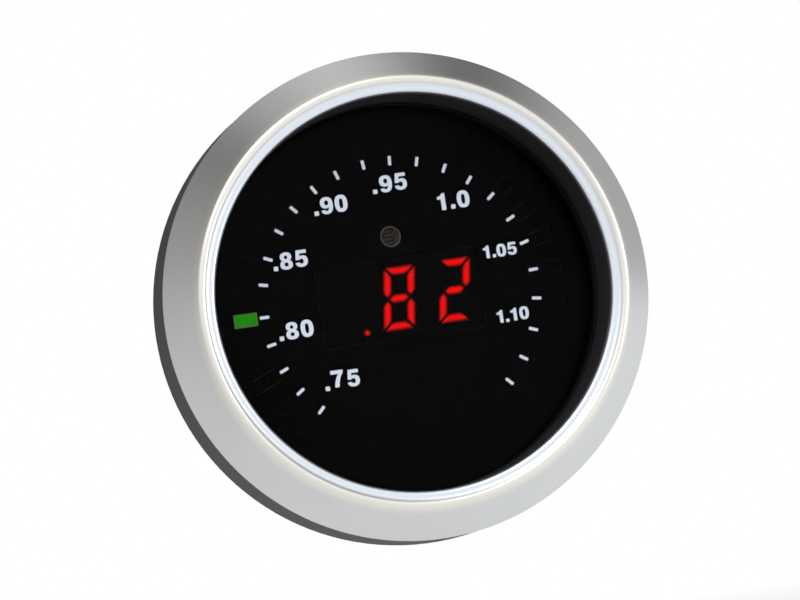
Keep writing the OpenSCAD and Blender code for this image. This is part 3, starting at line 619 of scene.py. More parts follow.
# Finish of each slot of the record, and of the added pieces that have one of their own
FINISHES: dict[str, Finish] = {
    # Glass filled nylon from an eroded mould: charcoal, low sheen, even 0.3 mm grain
    "housing_black": Finish("moulded_nylon_charcoal", "262528", "1f1e21", 0.58, Grain(0.3, 0.006),
                            specular=0.3),
    # The same nylon from a coarser mould, behind the panel
    "cover_black": Finish("moulded_nylon_black", "2b2b2e", "232326", 0.6, Grain(0.35, 0.01)),
    # Moulded rubber: dead black with a dusty bloom
    "gasket_rubber": Finish("moulded_rubber", "17171a", "101012", 0.85, Grain(0.2, 0.006)),
    # Aluminium blasted with fine glass beads, then clear anodised: even satin grey. The rolls are
    # brushed smoother before the bath; their soft bright bands are a painted highlight in their
    # colour.
    "bezel_silver": BezelMetal("anodised_aluminium_satin_painted_roll_highlights", "e4e4e3", "dadbdc", 0.36,
                               Grain(0.12, 0.0016), metallic=1.0, rough_spread=0.04, cloud_mm=9.0),
    # Polycarbonate with a smoke tint and a coat against glare: it dims what lies behind it
    "lens_smoke": Finish("smoked_polycarbonate", "020203", "010102", 0.04,
                         Grain(8.0, 0.0008, Way.SMOOTH), ior=1.58, rough_spread=0.01, alpha=0.2,
                         specular=0.1),
    # Sleeve with a thin satin paint
    "sleeve_black": Finish("painted_sleeve_black", "2e2e31", "28282b", 0.5, Grain(0.2, 0.004)),
    # Screen printed matt black: it swallows light, so the print stands out
    "dial_black": Finish("printed_dial_black", "030302", "020202", 0.9, Grain(0.15, 0.003),
                         specular=0.02),
    # Cast epoxy of the readout: black tint, slow 5 mm waves from casting
    "display_black": Finish("tinted_epoxy_black", "010101", "020202", 0.3,
                            Grain(5.0, 0.001, Way.SMOOTH), specular=0.02),
    "segment_lit": LitSegment("lit_red_epoxy", "300000", "200000", 0.5,
                              Grain(2.0, 0.002, Way.SMOOTH), specular=0.1, glow="ff0600",
                              glow_strength=1.6),
    "segment_dark": Finish("unlit_red_epoxy", "020101", "010101", 0.5,
                           Grain(2.0, 0.002, Way.SMOOTH), specular=0.02),
    # Light pipes of clear acrylic with a frosted end, one lit green and the others dark
    "pipe_lit": LitWindow("lit_green_acrylic", "0a2004", "081a03", 0.25,
                          Grain(1.0, 0.002, Way.SMOOTH), specular=0.1, glow="209200",
                          glow_strength=1.25),
    "pipe_dark": Finish("unlit_smoked_acrylic", "030302", "020202", 0.6,
                        Grain(2.0, 0.001, Way.SMOOTH), specular=0.02),
    "baffle_black": Finish("moulded_acetal_black", "0e0e0f", "0b0b0c", 0.7, specular=0.2),
    "chip_white": Finish("light_chip_epoxy", "e2dfcf", "d6d2bf", 0.4, Grain(0.3)),
    # Sintered alumina disc, mottled at 0.55 mm by its lacquer
    "sensor_ceramic": Finish("lacquered_ceramic", "ead3b0", "54523c", 0.45, Grain(0.15, 0.006),
                             cloud_mm=0.55),
    # Green solder mask over the boards' copper: glossy, with 3 mm clouds of the coating
    "board_green": Finish("solder_mask_green", "1d5a36", "174a2c", 0.3, Grain(0.4, 0.002),
                          cloud_mm=3.0),
    "chip_black": Finish("moulded_epoxy_black", "202022", "1a1a1c", 0.55, Grain(0.12, 0.003)),
    "capacitor_sleeve": Finish("shrunk_sleeve_blue", "1c2a4a", "17233e", 0.35,
                               Grain(1.5, 0.01, Way.SMOOTH)),
    "ferrite": Finish("sintered_ferrite", "3a3a3b", "303031", 0.6, Grain(0.1)),
    "tin": Finish("tinned_metal", "c2c4c6", "b4b6b9", 0.35, Grain(0.4), metallic=1.0),
    "contact_gold": Finish("gold_flashed_contact", "d9b25a", "caa24c", 0.25,
                           Grain(0.08, 0.002, Way.DRAWN), metallic=1.0),
    "connector_black": Finish("moulded_polyester_black", "1c1c1f", "161619", 0.45, Grain(0.2)),
    # Bright zinc plate: cool grey with a faint cloudy passivation
    "zinc_steel": Finish("bright_zinc_plate", "c6c9cd", "b3b7bd", 0.32, Grain(0.2, 0.002),
                         metallic=1.0, cloud_mm=1.5),
    "bracket_steel": Finish("zinc_plated_strip", "c3c6ca", "aeb2b8", 0.36,
                            Grain(0.12, 0.003, Way.DRAWN), metallic=1.0, cloud_mm=4.0),
    # Bar turned brass: 0.1 mm rings of the tool
    "brass": Finish("turned_brass", "cfa75a", "bd9549", 0.28, Grain(0.1, 0.002, Way.TURNED),
                    metallic=1.0),
    # Backlit white screen ink: cool white that keeps its level in shade
    "dial_print": Finish("backlit_white_ink", "e4ebf7", "dbe3f0", 0.6, Grain(0.12, 0.003),
                         specular=0.1, glow="dbe3f4", glow_strength=1.0),
    # Photoconductive film on the sensor: brown red, slightly raised
    "sensor_film": Finish("photoconductive_film", "4e160c", "2c0e08", 0.5, Grain(0.1)),
    "sensor_rim": Finish("dull_tinned_rim", "c9cdca", "a8adaa", 0.4, Grain(0.15)),
    # Glossy drop of lacquer with a dark tint: the tint is painted shade that dims the disc under it
    "sensor_lacquer_and_shade": Finish("clear_lacquer_painted_shade", "3a372f", "2e2c26", 0.08,
                             Grain(1.0, 0.004, Way.SMOOTH), alpha=0.18, specular=0.8),
}


class Finishes:
    """The materials of the gauge, by the same names as their finishes."""

    def __init__(self) -> None:
        """Builds every material once."""
        self.of = {slot: finish.build() for slot, finish in FINISHES.items()}

    def dress_nodes(self) -> None:
        """Gives every node of the frame the material of its slot."""
        for part in frame["record"]["subparts"]:
            node = frame["nodes"][part["node"]]
            node.data.materials.clear()
            node.data.materials.append(self.of[part["material_slot"]])
            LOG.info("%s: %s", part["node"], part["material_slot"])


# Outlines of the dial's heavy grotesque figures, from the middle of each figure's foot, where a
# figure is FIGURE_HEIGHT high. A longer row of a loop is a curve, with its two handles first.
FIGURE_HEIGHT = 1000
SQUARE_POINT = 130
FIGURES: dict[str, list[list[tuple]]] = {
    "0": [[(0, -12), (-255, -12, -378, 170, -378, 500), (-378, 830, -255, 1012, 0, 1012),
           (255, 1012, 378, 830, 378, 500), (378, 170, 255, -12, 0, -12)],
          [(0, 205), (-90, 205, -112, 300, -112, 500), (-112, 700, -90, 795, 0, 795),
           (90, 795, 112, 700, 112, 500), (112, 300, 90, 205, 0, 205)]],
    "8": [[(0, -12), (-235, -12, -376, 95, -376, 280), (-376, 395, -310, 480, -215, 522),
           (-295, 565, -342, 635, -342, 738), (-342, 905, -210, 1012, 0, 1012),
           (210, 1012, 342, 905, 342, 738), (342, 635, 295, 565, 215, 522),
           (310, 480, 376, 395, 376, 280), (376, 95, 235, -12, 0, -12)],
          [(0, 612), (-62, 612, -100, 660, -100, 718), (-100, 776, -62, 824, 0, 824),
           (62, 824, 100, 776, 100, 718), (100, 660, 62, 612, 0, 612)],
          [(0, 178), (-75, 178, -118, 225, -118, 292), (-118, 360, -75, 408, 0, 408),
           (75, 408, 118, 360, 118, 292), (118, 225, 75, 178, 0, 178)]],
    "9": [[(-352, 238), (-330, 80, -200, -12, -25, -12), (255, -12, 378, 195, 378, 520),
           (378, 850, 250, 1012, -5, 1012), (-230, 1012, -378, 875, -378, 665),
           (-378, 470, -250, 335, -65, 335), (10, 335, 75, 358, 118, 405),
           (112, 250, 62, 172, -22, 172), (-70, 172, -100, 195, -112, 250)],
          [(0, 520), (-70, 520, -118, 580, -118, 668), (-118, 756, -70, 815, 0, 815),
           (70, 815, 116, 756, 116, 668), (116, 580, 70, 520, 0, 520)]],
    "7": [[(-368, 1000), (368, 1000), (368, 822), (185, 620, 85, 330, 68, 0), (-196, 0),
           (-170, 310, -70, 590, 92, 778), (-368, 778)]],
    "5": [[(-362, 262), (-335, 90, -195, -12, 5, -12), (235, -12, 382, 130, 382, 345),
           (382, 545, 262, 668, 85, 668), (18, 668, -40, 650, -88, 608), (-66, 792), (335, 792),
           (335, 1000), (-258, 1000), (-340, 432), (-122, 416), (-90, 462, -50, 482, 2, 482),
           (82, 482, 132, 430, 132, 335), (132, 235, 82, 182, 0, 182),
           (-62, 182, -100, 215, -112, 280)]],
    "1": [[(-52, 0), (-52, 652), (-262, 652), (-262, 822), (-90, 826, 0, 880, 20, 1000),
           (212, 1000), (212, 0)]],
    ".": [[(-SQUARE_POINT, 0), (-SQUARE_POINT, 2 * SQUARE_POINT),
           (SQUARE_POINT, 2 * SQUARE_POINT), (SQUARE_POINT, 0)]],
}


@dataclass
class Assembly:
    """A group of added pieces that is built and handed to the frame together."""

    finishes: Finishes

    def put(self, piece: Object, name: str, slot: str, finish: str = "", body: str = GAUGE_BODY,
            replaces: str = "") -> None:
        """Names a finished piece, dresses it and hands it to the frame.

        Args:
            piece: the mesh object.
            name: the piece's name.
            slot: the record's material slot, whose finish it wears where no other finish is named.
            finish: name of its finish, where that isn't the slot's.
            body: the body that it rides on.
            replaces: node of the frame that it stands for, if any.
        """
        piece.name = piece.data.name = name
        piece.data.materials.clear()
        piece.data.materials.append(self.finishes.of[finish or slot])
        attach(piece, body)
        if replaces:
            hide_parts(replaces)
        LOG.info("%s: %d faces", name, len(piece.data.polygons))

    def build(self) -> None:
        """Models the assembly's pieces and puts them in place."""
        raise NotImplementedError


@dataclass
class Bezel(Assembly):
    """The screw-on ring: a straight conical land, and two soft rolls with a shallow valley.

    A roll is given by the radius and the level of its centre, and its own radius.
    """

    thread_r: float = 25.95
    foot_r: float = 29.21
    back: float = 11.4
    shoulder: float = 15.6
    lip_bore_r: float = 24.6
    lip_under: float = 16.95
    edge_r: float = 0.25
    edge_parts: int = 6
    land_shares: tuple[float, ...] = (0.02, 0.1, 0.35, 0.65, 0.9, 0.9856)
    land_roll: Level = (25.08, 17.899, 0.6)
    lip_roll: Level = (24.0, 17.5, 0.55)
    roll_start: float = 12.0
    roll_parts: tuple[int, int] = (14, 12)
    valley_r: float = 0.8
    valley_parts: int = 8
    support: float = 0.12
    steps: int = 256
    smooth_angle: float = 50.0

    def valley(self) -> tuple[Point, float, float]:
        """Finds the arc that touches both rolls from above.

        Returns:
            Its centre, and the angles in degrees at which it touches the outer and the inner roll.
        """
        (x1, z1, r1), (x2, z2, r2) = self.land_roll, self.lip_roll
        span = math.dist((x1, z1), (x2, z2))
        far, near = r1 + self.valley_r, r2 + self.valley_r
        along = (far ** 2 - near ** 2 + span ** 2) / (2 * span)
        up = math.sqrt(far ** 2 - along ** 2)
        ux, uz = (x2 - x1) / span, (z2 - z1) / span
        x, z = x1 + along * ux + up * uz, z1 + along * uz - up * ux
        return ((x, z), math.degrees(math.atan2(z1 - z, x1 - x)),
                math.degrees(math.atan2(z2 - z, x2 - x)))

    def profile(self) -> list[Point]:
        """Draws the ring's section, once round from its back.

        Returns:
            Radius and level of each point.
        """
        x1, z1, r1 = self.land_roll
        x2, z2, r2 = self.lip_roll
        centre, outer, inner = self.valley()
        low, bore = self.back + self.edge_r, x2 - r2
        rise, draw = z1 - low, x1 + r1 - self.foot_r
        points = [(self.thread_r + self.edge_r, self.back),
                  (self.foot_r - 2 * self.edge_r, self.back)]
        points += arc((self.foot_r - self.edge_r, low), self.edge_r, -90, 0, self.edge_parts)
        points += [(self.foot_r + draw * share, low + rise * share) for share in self.land_shares]
        points += arc((x1, z1), r1, self.roll_start, outer + 180, self.roll_parts[0])
        points += arc(centre, self.valley_r, outer, inner, self.valley_parts)[1:-1]
        points += arc((x2, z2), r2, inner + 180, 180, self.roll_parts[1])
        return points + [(bore, z2 - self.support), (bore, self.lip_under + self.support),
                         (bore + self.support, self.lip_under), (self.lip_bore_r, self.lip_under),
                         (self.lip_bore_r, self.shoulder), (self.thread_r, self.shoulder),
                         (self.thread_r, low)]

    def build(self) -> None:
        """Turns the ring and screws it on the head."""
        ring = lathe(self.profile(), self.steps, self.smooth_angle)
        stand_up(ring)
        self.put(ring, "turned_bezel", "bezel_silver", body="bezel", replaces="bezel")


@dataclass
class Numeral:
    """One number on the dial, with the place of each of its figures."""

    name: str
    figures: list[tuple[str, float, float]]
    height: float = 2.05


@dataclass
class DialPrint(Assembly):
    """Ticks and numbers printed on the dial plate."""

    tick_angles: tuple[float, ...] = (
        44.0, 55.5, 66.6, 78.2, 90.0, 103.4, 114.4, 126.6, 137.8, 149.6, 161.0, 173.0, 184.3, 195.7,
        207.6, 219.1, 230.5, 242.8, 254.4, 266.4, 278.5, 291.6, 304.3, 315.9)
    tick_ring_r: float = 16.69
    tick_centre: Point = (-0.05, 0.2)
    tick_size: Point = (0.37, 1.13)
    tick_edge: float = 0.01
    ink: float = 0.025
    curve_parts: int = 10
    numerals: list[Numeral] = field(default_factory=lambda: [
        Numeral("numeral_75", [(".", -10.49, -9.39), ("7", -9.16, -8.36), ("5", -7.26, -8.53)]),
        Numeral("numeral_80", [(".", -15.05, -2.62), ("8", -13.69, -1.84), ("0", -11.86, -1.81)]),
        Numeral("numeral_85", [(".", -14.47, 5.8), ("8", -13.12, 6.58), ("5", -11.28, 6.64)]),
        Numeral("numeral_90", [(".", -8.56, 11.71), ("9", -7.23, 12.51), ("0", -5.45, 12.54)]),
        Numeral("numeral_95", [(".", -1.1, 13.33), ("9", 0.3, 14.12), ("5", 2.11, 14.18)]),
        Numeral("numeral_100", [("1", 6.77, 10.98), (".", 8.08, 10.22), ("0", 9.41, 10.98)]),
        Numeral("numeral_105", [("1", 11.25, 4.15), (".", 12.14, 3.57), ("0", 13.06, 4.12),
                                ("5", 14.38, 4.16)], height=1.55),
        Numeral("numeral_110", [("1", 11.67, -3.85), (".", 12.53, -4.44), ("1", 13.39, -3.82),
                                ("0", 14.64, -3.81)], height=1.55)])

    def tick(self) -> Object:
        """Models one tick as a low film of ink with a rounded edge.

        Returns:
            A mesh object at the origin.
        """
        piece = primitive(bpy.ops.mesh.primitive_plane_add, size=1)
        with editing(piece):
            resize((*self.tick_size, 1 / MM))
            raise_faces(self.ink)
        round_edges(piece, self.tick_edge, segments=2)
        return piece

    def figure(self, kind: str) -> Object:
        """Models one figure, one metre high, as a film of ink.

        Args:
            kind: the figure's character.

        Returns:
            A mesh object at the origin.
        """
        curve = bpy.data.curves.new("figure", "CURVE")
        curve.dimensions = "2D"
        curve.fill_mode = "BOTH"
        curve.resolution_u = self.curve_parts
        curve.extrude = self.ink / 2
        for loop in FIGURES[kind]:
            closes = loop[0] == loop[-1][-2:]
            places = [Vector((*row[-2:], 0)) / FIGURE_HEIGHT for row in loop]
            count = len(loop) - closes
            spline = curve.splines.new("BEZIER")
            spline.use_cyclic_u = True
            spline.bezier_points.add(count - 1)
            for i, point in enumerate(spline.bezier_points):
                arriving = loop[-1] if closes and i == 0 else loop[i]
                leaving = loop[i + 1] if i + 1 < len(loop) else ()
                point.co = point.handle_left = point.handle_right = places[i]
                point.handle_left_type = point.handle_right_type = "FREE"
                if len(arriving) == 6:
                    point.handle_left = Vector((*arriving[2:4], 0)) / FIGURE_HEIGHT
                if len(leaving) == 6:
                    point.handle_right = Vector((*leaving[:2], 0)) / FIGURE_HEIGHT
        piece = as_mesh(curve)
        tidy_mesh(piece, merge=1e-5)
        return piece

    def ticks(self) -> None:
        """Prints the ring of ticks, each a copy of one."""
        first = self.tick()
        for i, angle in enumerate(self.tick_angles):
            tick = twin(first)
            place = Vector(self.tick_centre) + on_dial(self.tick_ring_r, angle)
            stand_up(tick, *place, DIAL_FRONT, -angle)
            self.put(tick, f"tick_{i + 1:02d}", "dial_black", "dial_print")
        bpy.data.objects.remove(first)

    def numbers(self) -> None:
        """Prints the numbers, from one model of each figure."""
        models = {kind: self.figure(kind) for kind in FIGURES}
        for numeral in self.numerals:
            glyphs = []
            for kind, x, y in numeral.figures:
                glyph = twin(models[kind])
                middle = SQUARE_POINT / FIGURE_HEIGHT if kind == "." else 0.5
                size = numeral.height * MM
                glyph.data.transform(Matrix.Diagonal((size, size, MM, 1)))
                stand_up(glyph, x, y - middle * numeral.height, DIAL_FRONT + self.ink / 2)
                glyphs.append(glyph)
            self.put(join(*glyphs), numeral.name, "dial_black", "dial_print")
        for model in models.values():
            bpy.data.objects.remove(model)

    def build(self) -> None:
        """Prints every tick and number on the dial."""
        self.ticks()
        self.numbers()


@dataclass
class Readout(Assembly):
    """The lit segments of the three digits, each with a rim that the light hardly reaches.

    Segments are numbered 0 top, 1 upper right, 2 lower right, 3 bottom, 4 lower left, 5 upper left
    and 6 middle.
    """

    centre: Point = (-0.15, 0.2)
    digit_h: float = 7.76
    digit_w: float = 4.0
    pitch: float = 6.86
    segment_w: float = 1.1
    gap: float = 0.17
    blunt: float = 0.14
    slant: float = 8.4
    point_r: float = 0.4
    point_core: float = 0.4
    point_sides: int = 32
    point_drop: float = 0.29
    point_share: float = 0.42
    front: float = 5.45
    depth: float = 0.55
    fade: float = 0.38
    inset: float = 0.01
    lit: tuple[tuple[int, ...], ...] = ((), (0, 1, 2, 3, 4, 5, 6), (0, 1, 3, 4, 6))

    def lean(self, x: float, y: float) -> Point:
        """Leans a point of a digit to the right."""
        return x + y * math.tan(math.radians(self.slant)), y

    def corner_end(self, length: float) -> list[Point]:
        """Gives the mitred end of a bar.

        Args:
            length: length of the bar between the middles of its corners.

        Returns:
            Points from its outer to its inner edge.
        """
        half = self.segment_w / 2
        reach = length / 2 + half - self.gap - self.blunt
        return [(reach, half), (reach, half - self.blunt), (length / 2 - half - self.gap, -half)]

    def pointed_end(self, length: float) -> list[Point]:
        """Gives the pointed end of a bar.

        Args:
            length: length of the bar between the middles of its corners.

        Returns:
            Points from its outer to its inner edge.
        """
        half = self.segment_w / 2
        reach = length / 2 - self.gap
        return [(reach - half, half), (reach, 0.0), (reach - half, -half)]

    def outline(self, segment: int, faded: float = 0.0) -> list[Point]:
        """Gives the outline of one segment about the digit's middle.

        Args:
            segment: the segment's number.
            faded: how far inside its rim the outline lies.

        Returns:
            Corner points, in order.
        """
        across, along = self.digit_w - self.segment_w, (self.digit_h - self.segment_w) / 2
        side, up = (1 if segment in (1, 2) else -1), (1 if segment in (0, 1, 5, 6) else -1)
        upright = segment in (1, 2, 4, 5)
        length = along if upright else across
        far = self.pointed_end(length) if segment == 6 else self.corner_end(length)
        near = self.corner_end(length) if segment in (0, 3) else self.pointed_end(length)
        thin, short = 1 - 2 * faded / self.segment_w, 1 - 2 * faded / length
        bar = [(u * short, v * thin) for u, v in far + [(-u, v) for u, v in reversed(near)]]
        if upright:
            return [self.lean(side * (across / 2 + v), up * (along / 2 + u)) for u, v in bar]
        middle = 0 if segment == 6 else up * along
        return [self.lean(u, middle + up * v) for u, v in bar]

    def diffuser(self, rim: list[Point], core: list[Point]) -> Object:
        """Models one lit diffuser from a flat circle that is drawn out to its outline.

        Args:
            rim: corner points of its outline.
            core: the matching points where the light is full.

        Returns:
            A closed mesh, drawn face up, whose glow layer is one inside its rim.
        """
        piece = primitive(bpy.ops.mesh.primitive_circle_add, vertices=len(rim), radius=MM,
                          fill_type="NGON")
        for vertex, (x, y) in zip(piece.data.vertices, rim):
            vertex.co = (x * MM, y * MM, 0)
        with editing(piece):
            raise_faces(self.depth)
            bpy.ops.mesh.inset(thickness=self.inset * MM)
        layer = piece.data.attributes.new(GLOW_LAYER, "FLOAT", "POINT")
        for vertex in piece.data.vertices:
            layer.data[vertex.index].value = float(vertex.select)
            if vertex.select:
                here = vertex.co.xy / MM
                nearest = min(range(len(rim)), key=lambda i: math.dist(rim[i], here))
                vertex.co.xy = Vector(core[nearest]) * MM
        with editing(piece):
            bpy.ops.mesh.normals_make_consistent(inside=False)
        return piece

    def light(self, piece: Object, name: str, x: float, y: float) -> None:
        """Sets a diffuser in the readout, with its digit's middle or its own at a place."""
        stand_up(piece, x, y, self.front - self.depth)
        self.put(piece, name, "segment_lit", replaces="lit_segments")

    def build(self) -> None:
        """Lights the segments of each digit and the point."""
        for digit, segments in enumerate(self.lit):
            x = self.centre[0] + (digit - (len(self.lit) - 1) / 2) * self.pitch
            for segment in segments:
                piece = self.diffuser(self.outline(segment), self.outline(segment, self.fade))
                self.light(piece, f"lit_segment_{digit}_{segment}", x, self.centre[1])
        rim, core = (ring((0, 0), radius, self.point_sides)
                     for radius in (self.point_r, self.point_core * self.point_r))
        x, y = self.lean(self.point_share * self.pitch,
                         (self.segment_w - self.digit_h) / 2 - self.point_drop)
        self.light(self.diffuser(rim, core), "lit_point", self.centre[0] - self.pitch + x,
                   self.centre[1] + y)


@dataclass
class LightWindow(Assembly):
    """The lit light pipe, with the rounded edges that catch a glint."""

    ring_r: float = 18.98
    angle: float = 90.6
    front: float = 5.75
    foot: float = -0.1
    edge: float = 0.14
    smooth_angle: float = 35.0

    def build(self) -> None:
        """Models the bar from a cube and sets it in the dial."""
        piece = primitive(bpy.ops.mesh.primitive_cube_add, size=1)
        with editing(piece):
            resize((*LIT_WINDOW_SIZE, self.front - self.foot))
        round_edges(piece, self.edge, segments=4)
        smooth(piece, self.smooth_angle)
        stand_up(piece, *on_dial(self.ring_r, self.angle), (self.front + self.foot) / 2,
                 -90 - self.angle)
        self.put(piece, "lit_light_window", "pipe_lit", replaces="lit_light_pipe")


@dataclass
class LightSensor(Assembly):
    """What shows of the light sensor: a winding film in a thin rim, under a drop of lacquer whose
    dark tint is painted shade.
    """

    centre_y: float = 7.75
    top: float = 4.5
    track_r: float = 0.11
    track_flat: float = 0.35
    track_smooth: float = 50.0
    rows: int = 5
    row_pitch: float = 0.47
    row_lean: float = 0.06
    row_shares: tuple[float, ...] = (-1.0, -0.55, 0.0, 0.55, 1.0)
    reach: float = 0.62
    shift: float = -0.2
    rim_r: float = 1.2
    rim_wire_r: float = 0.09
    rim_level: float = 4.95
    rim_sides: int = 12
    rim_steps: int = 64
    rim_smooth: float = 60.0
    lacquer_r: float = 1.95
    lacquer_h: float = 0.4
    lacquer_smooth: float = 40.0

    def track(self) -> Object:
        """Winds the film to and fro across the disc.

        Returns:
            A mesh object at the origin.
        """
        curve = bpy.data.curves.new("film", "CURVE")
        curve.dimensions = "3D"
        curve.bevel_depth = self.track_r * MM
        curve.bevel_resolution = 3
        curve.resolution_u = 8
        curve.use_fill_caps = True
        points: list[Point] = []
        for i in range(self.rows):
            y = (i - (self.rows - 1) / 2) * self.row_pitch
            side = 1 if i % 2 else -1
            points += [(self.shift + side * share * self.reach, y + self.row_lean * side * share)
                       for share in self.row_shares]
        points.append((points[-1][0], points[-1][1] + self.row_pitch))
        spline = curve.splines.new("NURBS")
        spline.points.add(len(points) - 1)
        for point, (x, y) in zip(spline.points, points):
            point.co = (x * MM, y * MM, 0, 1)
        spline.use_endpoint_u = True
        spline.order_u = 3
        piece = as_mesh(curve)
        piece.data.transform(Matrix.Diagonal((1, 1, self.track_flat, 1)))
        tidy_mesh(piece)
        smooth(piece, self.track_smooth)
        return piece

    def rim(self) -> Object:
        """Spins the thin rim of the sensor's can."""
        return lathe(ring((self.rim_r, 0), self.rim_wire_r, self.rim_sides), self.rim_steps,
                     self.rim_smooth)

    def lacquer(self) -> Object:
        """Models the low drop of lacquer that covers the disc.

        Returns:
            A mesh object at the origin.
        """
        piece = primitive(bpy.ops.mesh.primitive_uv_sphere_add, segments=48, ring_count=24,
                          radius=1)
        with editing(piece):
            bpy.ops.mesh.bisect(plane_co=(0, 0, 0), plane_no=(0, 0, 1), use_fill=True,
                                clear_inner=True)
            bpy.ops.mesh.select_all(action="SELECT")
            resize((self.lacquer_r, self.lacquer_r, self.lacquer_h))
        tidy_mesh(piece)
        smooth(piece, self.lacquer_smooth)
        return piece

    def build(self) -> None:
        """Sets the film, the rim and the lacquer on the sensor's disc."""
        for piece, name, level in ((self.track(), "sensor_film", self.top),
                                   (self.lacquer(), "sensor_lacquer_and_shade", self.top),
                                   (self.rim(), "sensor_rim", self.rim_level)):
            stand_up(piece, 0, self.centre_y, level)
            self.put(piece, name, "sensor_ceramic", name)


@dataclass
class Studs(Assembly):
    """The two clamp studs, with the rolled thread that the plain solids leave out."""

    spacing: float = 34.0
    major_r: float = 2.0
    minor_r: float = 1.62
    pitch: float = 0.7
    crest_share: float = 0.125
    spare_turns: int = 2
    turn_parts: int = 40
    shank_from: float = -24.5
    thread_from: float = -28.2
    tip: float = -40.0
    tip_inset: float = 0.02
    chamfer: float = 0.5
    shank_sides: int = 48
    head_t: float = 1.8
    head_af: float = 7.0
    head_sides: int = 6
    smooth_angle: float = 35.0

    def thread(self) -> Object:
        """Rolls the thread as a helix and trims it square at both ends.

        Returns:
            A mesh object along z, from the tip's level to the shank's.
        """
        crest = self.crest_share * self.pitch
        piece = wire([(self.minor_r, 0), (self.major_r, self.pitch / 2 - crest),
                      (self.major_r, self.pitch / 2 + crest), (self.minor_r, self.pitch)],
                     closed=False)
        screw = piece.modifiers.new("helix", "SCREW")
        screw.axis = "Z"
        screw.angle = 2 * math.pi
        screw.screw_offset = self.pitch * MM
        turns = math.ceil((self.thread_from - self.tip) / self.pitch)
        screw.iterations = turns + self.spare_turns
        screw.steps = screw.render_steps = self.turn_parts
        screw.use_merge_vertices = True
        bpy.ops.object.modifier_apply(modifier=screw.name)
        piece.data.transform(Matrix.Translation((0, 0, (self.tip - self.pitch) * MM)))
        tidy_mesh(piece)
        with editing(piece):
            for level, side in ((self.tip + self.tip_inset, 1), (self.thread_from, -1)):
                bpy.ops.mesh.select_all(action="SELECT")
                bpy.ops.mesh.bisect(plane_co=(0, 0, level * MM), plane_no=(0, 0, side),
                                    use_fill=True, clear_inner=True, threshold=1e-7)
            bpy.ops.mesh.select_all(action="SELECT")
            bpy.ops.mesh.normals_make_consistent(inside=False)
        self.cone(piece)
        return piece

    def cone(self, piece: Object) -> None:
        """Turns the chamfer at the stud's tip by drawing in what stands past its cone.

        Args:
            piece: the thread's mesh object.
        """
        for vertex in piece.data.vertices:
            most = (self.major_r - self.chamfer) * MM + max(vertex.co.z - self.tip * MM, 0)
            radius = vertex.co.xy.length
            if radius > most:
                vertex.co.xy *= most / radius

    def build(self) -> None:
        """Makes one stud of thread, shank and hexagonal head, and copies it to the second place."""
        shank = prism(self.shank_sides, self.major_r, self.thread_from, self.shank_from)
        head = prism(self.head_sides, self.head_af / 2 / math.cos(math.pi / self.head_sides),
                     self.shank_from, self.shank_from + self.head_t)
        stud = join(self.thread(), shank, head)
        smooth(stud, self.smooth_angle)
        for piece, name, y in ((stud, "threaded_stud_top", self.spacing / 2),
                               (twin(stud), "threaded_stud_bottom", -self.spacing / 2)):
            stand_up(piece, 0, y)
            self.put(piece, name, "zinc_steel", replaces="bracket_studs")


@dataclass
class Softbox:
    """One studio lamp, aimed at the gauge. Its place and size are in metres."""

    name: str
    place: Level
    size: Point
    watts: float

    def build(self) -> None:
        """Hangs the lamp and turns it to the gauge."""
        data = bpy.data.lights.new(self.name, "AREA")
        data.shape = "RECTANGLE"
        data.size, data.size_y = self.size
        data.energy = self.watts
        lamp = link(bpy.data.objects.new(self.name, data))
        lamp.location = self.place
        lamp.rotation_euler = (-Vector(self.place)).to_track_quat("-Z", "Y").to_euler()
        LOG.info("%s: %.2f W", self.name, self.watts)


